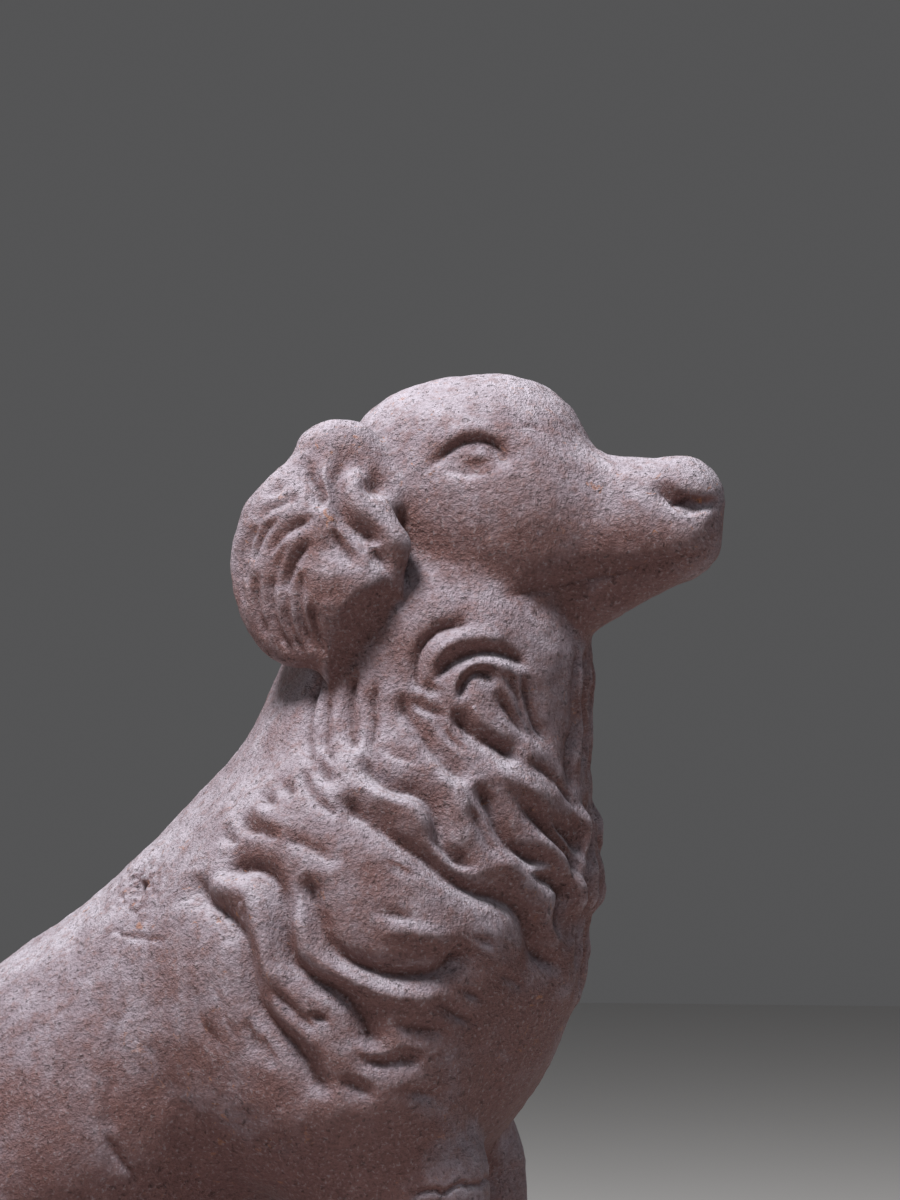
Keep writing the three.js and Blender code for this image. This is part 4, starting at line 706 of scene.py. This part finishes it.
def carve_figure(piece):
    """Moves the piece's points onto the plain figure and then by the carving, but for those on the plinth."""
    points = points_of(piece) / PART
    points[:, 0] += FIGURE_MIDDLE
    points[:, 2] -= PLINTH_TOP / PART
    free = points[:, 2] > STANDING_PARTS
    at = points[free]
    for _ in range(ROUNDS):
        here = figure(*at.T)
        slope = np.empty_like(at)
        for axis in range(3):
            nudged = at.copy()
            nudged[:, axis] += NUDGE
            slope[:, axis] = (figure(*nudged.T) - here) / NUDGE
        slope /= np.maximum(np.linalg.norm(slope, axis=1), LEAST_SLOPE)[:, None]
        at = at - slope * np.clip(here, -MOST_MOVE, MOST_MOVE)[:, None]
    at = at + slope * carved_height(*at.T)[:, None]
    at[:, 2] = np.maximum(at[:, 2], STANDING_PARTS / 2)
    points[free] = at
    points[:, 0] -= FIGURE_MIDDLE
    points[:, 2] += PLINTH_TOP / PART
    piece.data.vertices.foreach_set("co", (points * PART).ravel())
    piece.data.update()


def spread_over_edges(values, edges, count):
    """The mean of each point's neighbours."""
    total = np.zeros_like(values)
    for here, there in ((0, 1), (1, 0)):
        for axis in range(values.shape[1]):
            total[:, axis] += np.bincount(edges[:, here], values[edges[:, there], axis], len(values))
    return total / np.maximum(count, 1)[:, None]


def mark_hollows(piece):
    """Writes how hollow and how upward each point of the piece lies, for its material's painted shade and
    highlight.
    """
    mesh = piece.data
    points = points_of(piece)
    edges = np.empty(len(mesh.edges) * 2, dtype=np.int64)
    mesh.edges.foreach_get("vertices", edges)
    edges = edges.reshape(-1, 2)
    normals = np.empty(len(points) * 3)
    mesh.vertex_normals.foreach_get("vector", normals)
    normals = normals.reshape(-1, 3)
    count = np.bincount(edges.ravel(), minlength=len(points))
    run = np.linalg.norm(points[edges[:, 0]] - points[edges[:, 1]], axis=1).mean()
    around = points
    for _ in range(HOLLOW_REACH):
        around = spread_over_edges(around, edges, count)
    hollow = ((around - points) * normals).sum(axis=1) / (run * math.sqrt(HOLLOW_REACH))
    for name, values in (("hollow", hollow), ("upward", normals[:, 2])):
        attribute = mesh.attributes.new(name, "FLOAT", "POINT")
        attribute.data.foreach_set("value", values.astype(np.float32))


# Materials. A socket wrapped in Maths can be added to, multiplied, subtracted and clamped as a number.
class Maths:
    def __init__(self, paints, socket):
        self.paints = paints
        self.socket = socket

    def using(self, operation, *others):
        values = [self.socket] + [other.socket if isinstance(other, Maths) else other for other in others]
        return self.paints.node("ShaderNodeMath", {"operation": operation}, dict(enumerate(values)))

    def __add__(self, other):
        return self.using("ADD", other)

    __radd__ = __add__

    def __mul__(self, other):
        return self.using("MULTIPLY", other)

    __rmul__ = __mul__

    def __sub__(self, other):
        return self.using("SUBTRACT", other)

    def __rsub__(self, other):
        return (self * -1) + other

    def clamped(self):
        return self.using("MAXIMUM", 0).using("MINIMUM", 1)


class Paints:
    """One material and its nodes."""

    def __init__(self, name):
        self.material = bpy.data.materials.new(name)
        self.material.use_nodes = True
        self.tree = self.material.node_tree
        self.shader = self.tree.nodes["Principled BSDF"]

    def node(self, kind, settings=None, inputs=None, output=0):
        made = self.tree.nodes.new(kind)
        for name, value in (settings or {}).items():
            setattr(made, name, value)
        for name, value in (inputs or {}).items():
            self.join(made.inputs[name], value)
        return Maths(self, made.outputs[output])

    def join(self, socket, value):
        if isinstance(value, Maths):
            value = value.socket
        if isinstance(value, bpy.types.NodeSocket):
            self.tree.links.new(value, socket)
        elif socket.type == "RGBA":
            socket.default_value = (*value, 1)
        else:
            socket.default_value = value

    def noise(self, place, scale, detail=4, rough=0.55, warp=0.0):
        inputs = {"Vector": place, "Scale": scale, "Detail": detail, "Roughness": rough, "Distortion": warp}
        return self.node("ShaderNodeTexNoise", {}, inputs)

    def ramp(self, factor, low, high):
        settings = {"interpolation_type": "SMOOTHSTEP"}
        inputs = {"Value": factor, "From Min": low, "From Max": high, "To Min": 0, "To Max": 1}
        return self.node("ShaderNodeMapRange", settings, inputs)

    def mix(self, factor, first, second):
        made = self.tree.nodes.new("ShaderNodeMix")
        made.data_type = "RGBA"
        made.clamp_factor = True
        self.join(made.inputs[0], factor)
        self.join(made.inputs[6], first)
        self.join(made.inputs[7], second)
        return Maths(self, made.outputs[2])

    def finish(self, colour, roughness, bump, strength):
        self.join(self.shader.inputs["Base Color"], colour)
        self.join(self.shader.inputs["Roughness"], roughness)
        self.shader.inputs["Metallic"].default_value = METAL_SHARE
        self.shader.inputs["Specular IOR Level"].default_value = SHEEN_LEVEL
        inputs = {"Strength": strength, "Distance": GRAIN_DEPTH, "Height": bump}
        lift = self.node("ShaderNodeBump", {}, inputs)
        self.join(self.shader.inputs["Normal"], lift)
        return self.material


def weathered_iron(name, settings, darker=0.0):
    """Sandy oxide-coated iron: mauve grey with rust specks. Up-facing faces and ridges are paler, partly
    washed oxide and partly a painted highlight; undersides are darker and redder, and hollows nearly black,
    as painted shade.
    """
    paints = Paints(name)
    place = paints.node("ShaderNodeTexCoord", {}, {}, output=3)
    upward = paints.node("ShaderNodeAttribute", {"attribute_name": "upward"}, {}, output=2)
    hollow_share = paints.node("ShaderNodeAttribute", {"attribute_name": "hollow"}, {}, output=2)
    broad = paints.noise(place, 7, 4, 0.6, 0.4)
    clouds = paints.noise(place, 22, 6, 0.65, 0.3)
    mottle = paints.noise(place, 120, 5, 0.7)
    grain = paints.noise(place, 420, 3, 0.65)
    sand = paints.noise(place, 850, 2, 0.6)
    # Painted shade: hollows, found from the mesh's own concavity, are darkened nearly to black.
    hollow = paints.ramp(hollow_share, 0.02, 0.3)
    # Painted highlight: ridges, the convex places of the mesh, are made paler.
    crest = paints.ramp(hollow_share * -1, 0.04, 0.34)
    # Painted highlight and shade: up-facing faces take the paler washed-and-lit colour and down-facing ones
    # the darker, redder brown. The noise adds blotches.
    height = upward * 0.8 + (clouds - 0.5) * 1.25 + (broad - 0.5) * 1.1
    downwards = paints.node("ShaderNodeMapping", {}, {"Vector": place, "Scale": (1, 1, 0.2)})
    streaks = paints.ramp(paints.noise(downwards, 60, 4, 0.6, 0.3), 0.5, 0.66)
    base = paints.mix(paints.ramp(height, -0.3, 0.4), settings.brown, settings.mauve)
    base = paints.mix(paints.ramp(height, 0.25, 0.85), base, settings.washed_and_lit)
    base = paints.mix(streaks * paints.ramp(height, -0.3, 0.5) * 0.3, base, settings.washed_and_lit)
    base = paints.mix(paints.ramp(mottle, 0.46, 0.68) * 0.5, base, settings.red)
    base = paints.mix(crest * 0.45, base, settings.washed_and_lit)
    base = paints.mix(hollow * 0.85, base, settings.hollow)
    rust = paints.ramp(paints.noise(place, 150, 3, 0.65, 0.8), 0.62, 0.7) * paints.ramp(broad, 0.44, 0.6)
    base = paints.mix(rust * 0.6, base, settings.rust)
    base = paints.mix(paints.ramp(grain, 0.54, 0.7) * 0.3, base, settings.speck)
    # Painted shade: the grain's low spots and the pits that the bump dents in are darkened towards near
    # black.
    base = paints.mix(paints.ramp(grain, 0.48, 0.34) * 0.35, base, settings.pit)
    pits = paints.ramp(paints.noise(place, 260, 3, 0.6), 0.62, 0.7)
    base = paints.mix(pits * 0.35, base, settings.pit)
    if darker:
        base = paints.mix(darker, base, settings.brown)
    roughness = 0.58 + 0.22 * grain + hollow * 0.1 - crest * 0.08
    bump = grain * 1.0 + sand * 0.35 + mottle * 1.5 - pits * 0.9
    return paints.finish(base, roughness.clamped(), bump, settings.grain)


def plain_material(name, colour, roughness):
    paints = Paints(name)
    place = paints.node("ShaderNodeTexCoord", {}, {}, output=3)
    cloud = paints.noise(place, 2.2, 3)
    shade = paints.mix(cloud * 0.3, colour, tuple(part * 0.94 for part in colour))
    paints.join(paints.shader.inputs["Base Color"], shade)
    paints.shader.inputs["Roughness"].default_value = roughness
    return paints.material


def colour_prop(name, description, value):
    return bpy.props.FloatVectorProperty(
        name=name, description=description, subtype="COLOR", size=3, min=0, max=1, default=value
    )


def length_prop(name, description, value, least):
    return bpy.props.FloatProperty(
        name=name, description=description, unit="LENGTH", min=least, default=value
    )


def angle_prop(name, description, degrees):
    return bpy.props.FloatProperty(
        name=name, description=description, subtype="ANGLE", default=math.radians(degrees)
    )


class IronFinish(bpy.types.PropertyGroup):
    mauve: colour_prop("Mauve", "Oxide on most of the surface", (0.252, 0.2, 0.23))
    # Painted shade: the brown on undersides stands for the shadow under the figure's parts. It also tints
    # blotches and darkens the plinth.
    brown: colour_prop("Brown", "Undersides, redder and darker", (0.15, 0.072, 0.067))
    # Partly a painted highlight: the pale colour on up-facing faces and ridges is rain-washed oxide and light
    # from above together.
    washed_and_lit: colour_prop("Washed", "Paler faces that rain reaches", (0.45, 0.41, 0.465))
    red: colour_prop("Red", "Warm mottling", (0.19, 0.095, 0.085))
    # Painted shade inside the grooves, nearly black.
    hollow: colour_prop("Hollow", "Inside the grooves", (0.055, 0.022, 0.021))
    rust: colour_prop("Rust", "Fresh rust specks", (0.36, 0.15, 0.07))
    speck: colour_prop("Speck", "Pale grains", (0.42, 0.39, 0.42))
    # Painted shade at the bottoms of the pits.
    pit: colour_prop("Pit", "Bottoms of the pits", (0.045, 0.024, 0.024))
    grain: bpy.props.FloatProperty(
        name="Grain", description="How strongly the sandy grain stands out", default=0.9, min=0, max=1
    )


class DogSizes(bpy.types.PropertyGroup):
    voxel: length_prop("Voxel", "Spacing of the carved surface's points", 0.0018, 0.0015)
    faces: bpy.props.IntProperty(
        name="Faces", description="Most triangles that the dog keeps", default=197000, min=20000, max=199000
    )


class PlinthSizes(bpy.types.PropertyGroup):
    spacing: length_prop("Spacing", "Spacing of the plinth's points", 0.006, 0.003)
    uneven: length_prop("Uneven", "How far its faces wander from flat", 0.0007, 0)


class StageSettings(bpy.types.PropertyGroup):
    floor: colour_prop("Floor", "Colour of the floor", (0.62, 0.61, 0.6))
    turn: angle_prop("Turn", "Camera's turn round the dog", 12)
    rise: angle_prop("Rise", "Camera's rise above level", -3)
    away: length_prop("Away", "Camera's distance from the dog", 2.5, 0.5)
    height: length_prop("Height", "How much the picture takes in, top to bottom", 0.78, 0.1)


class IRONDOG_OT_dog(bpy.types.Operator):
    """Carves the dog's fine surface over its plain solid"""

    bl_idname = "irondog.dog"
    bl_label = "Dog"

    def execute(self, context):
        sizes = context.scene.dog_sizes
        piece = copy_of_node("dog", "dog_casting")
        coarse = 1
        apply_modifier(piece, "REMESH", mode="VOXEL", voxel_size=sizes.voxel * coarse)
        apply_modifier(piece, "SMOOTH", **SMOOTHING)
        carve_figure(piece)
        count = sum(len(face.vertices) - 2 for face in piece.data.polygons)
        if count > sizes.faces:
            apply_modifier(piece, "DECIMATE", ratio=sizes.faces / count)
        mark_hollows(piece)
        only(piece)
        bpy.ops.object.shade_smooth()
        piece.data.materials.append(weathered_iron("weathered_iron_dog", context.scene.iron_finish))
        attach(piece, "root")
        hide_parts("dog")
        return {"FINISHED"}


class IRONDOG_OT_plinth(bpy.types.Operator):
    """Makes the plinth with its cast unevenness"""

    bl_idname = "irondog.plinth"
    bl_label = "Plinth"

    def execute(self, context):
        sizes = context.scene.plinth_sizes
        piece = copy_of_node("base", "plinth")
        apply_modifier(piece, "REMESH", mode="VOXEL", voxel_size=sizes.spacing)
        points = points_of(piece)
        low, high = PLINTH_BOX
        parts = points / PART
        height = sum(lump.at(*parts.T) * size for lump, size in LUMPS[:2]) * PLINTH_LUMPS
        inward = -np.abs(height) * sizes.uneven
        middle = np.array([0, 0, (low.z + high.z) / 2])
        reach = (points - middle) / np.array([high.x, high.y, (high.z - low.z) / 2])
        outward = np.sign(reach) * (np.abs(reach) > PLINTH_EDGE)
        outward[points[:, 2] < low.z + PLINTH_FOOT] = 0
        points += outward * inward[:, None]
        piece.data.vertices.foreach_set("co", points.ravel())
        piece.data.update()
        mark_hollows(piece)
        only(piece)
        bpy.ops.object.shade_smooth_by_angle(angle=math.radians(PLINTH_SHARP))
        iron = weathered_iron("weathered_iron_plinth", context.scene.iron_finish, PLINTH_DARKER)
        piece.data.materials.append(iron)
        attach(piece, "root")
        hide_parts("base")
        return {"FINISHED"}


class IRONDOG_OT_stage(bpy.types.Operator):
    """Sets the floor, the lights and the camera"""

    bl_idname = "irondog.stage"
    bl_label = "Stage"

    def execute(self, context):
        settings = context.scene.stage_settings
        deselect()
        bpy.ops.mesh.primitive_plane_add(size=FLOOR_SIZE, location=(0, 0, 0))
        floor = context.object
        floor.name = "floor"
        floor.data.materials.append(plain_material("pale_floor", tuple(settings.floor), 0.9))
        turn, rise = settings.turn, settings.rise
        right = Vector((math.cos(turn), math.sin(turn), 0))
        back = Vector((math.sin(turn) * math.cos(rise), -math.cos(turn) * math.cos(rise), math.sin(rise)))
        target = Vector((VIEW_ALONG, 0, VIEW_UP))
        lens = bpy.data.cameras.new("camera")
        lens.sensor_fit = "VERTICAL"
        lens.sensor_height = SENSOR
        lens.lens = SENSOR * settings.away / settings.height
        camera = bpy.data.objects.new("camera", lens)
        context.scene.collection.objects.link(camera)
        camera.location = target + back * settings.away
        camera.rotation_euler = back.to_track_quat("Z", "Y").to_euler()
        context.scene.camera = camera
        for name, place, size, power, colour in LIGHTS:
            light = bpy.data.lights.new(name, "AREA")
            light.size = size
            light.energy = power
            light.color = colour
            lamp = bpy.data.objects.new(name, light)
            context.scene.collection.objects.link(lamp)
            lamp.location = target + right * place[0] + back * place[1] + Vector((0, 0, 1)) * place[2]
            lamp.rotation_euler = (lamp.location - target).to_track_quat("Z", "Y").to_euler()
        world = bpy.data.worlds.new("studio")
        world.use_nodes = True
        sky = world.node_tree.nodes["Background"]
        sky.inputs["Color"].default_value = SKY_COLOUR
        sky.inputs["Strength"].default_value = SKY_STRENGTH
        context.scene.world = world
        context.scene.view_settings.view_transform = "Standard"
        return {"FINISHED"}


PANEL_ROWS = [
    ("irondog.dog", "dog_sizes", ("voxel", "faces")),
    ("irondog.plinth", "plinth_sizes", ("spacing", "uneven")),
    ("irondog.stage", "stage_settings", ("floor", "turn", "rise", "away", "height")),
]


class IRONDOG_PT_panel(bpy.types.Panel):
    """Lists the pieces and their settings"""

    bl_idname = "IRONDOG_PT_panel"
    bl_label = "Iron Dog"
    bl_space_type = "VIEW_3D"
    bl_region_type = "UI"
    bl_category = "Iron Dog"

    def draw(self, context):
        scene = context.scene
        for operator, group, names in PANEL_ROWS:
            box = self.layout.box()
            box.operator(operator)
            for name in names:
                box.prop(getattr(scene, group), name)


GROUPS = {
    "iron_finish": IronFinish,
    "dog_sizes": DogSizes,
    "plinth_sizes": PlinthSizes,
    "stage_settings": StageSettings,
}
CLASSES = [*GROUPS.values(), IRONDOG_OT_dog, IRONDOG_OT_plinth, IRONDOG_OT_stage, IRONDOG_PT_panel]


def register():
    for each in CLASSES:
        bpy.utils.register_class(each)
    for name, group in GROUPS.items():
        setattr(bpy.types.Scene, name, bpy.props.PointerProperty(type=group))


def unregister():
    for name in GROUPS:
        delattr(bpy.types.Scene, name)
    for each in reversed(CLASSES):
        bpy.utils.unregister_class(each)


def main():
    register()
    bpy.ops.irondog.dog()
    bpy.ops.irondog.plinth()
    bpy.ops.irondog.stage()


if __name__ == "__main__":
    main()
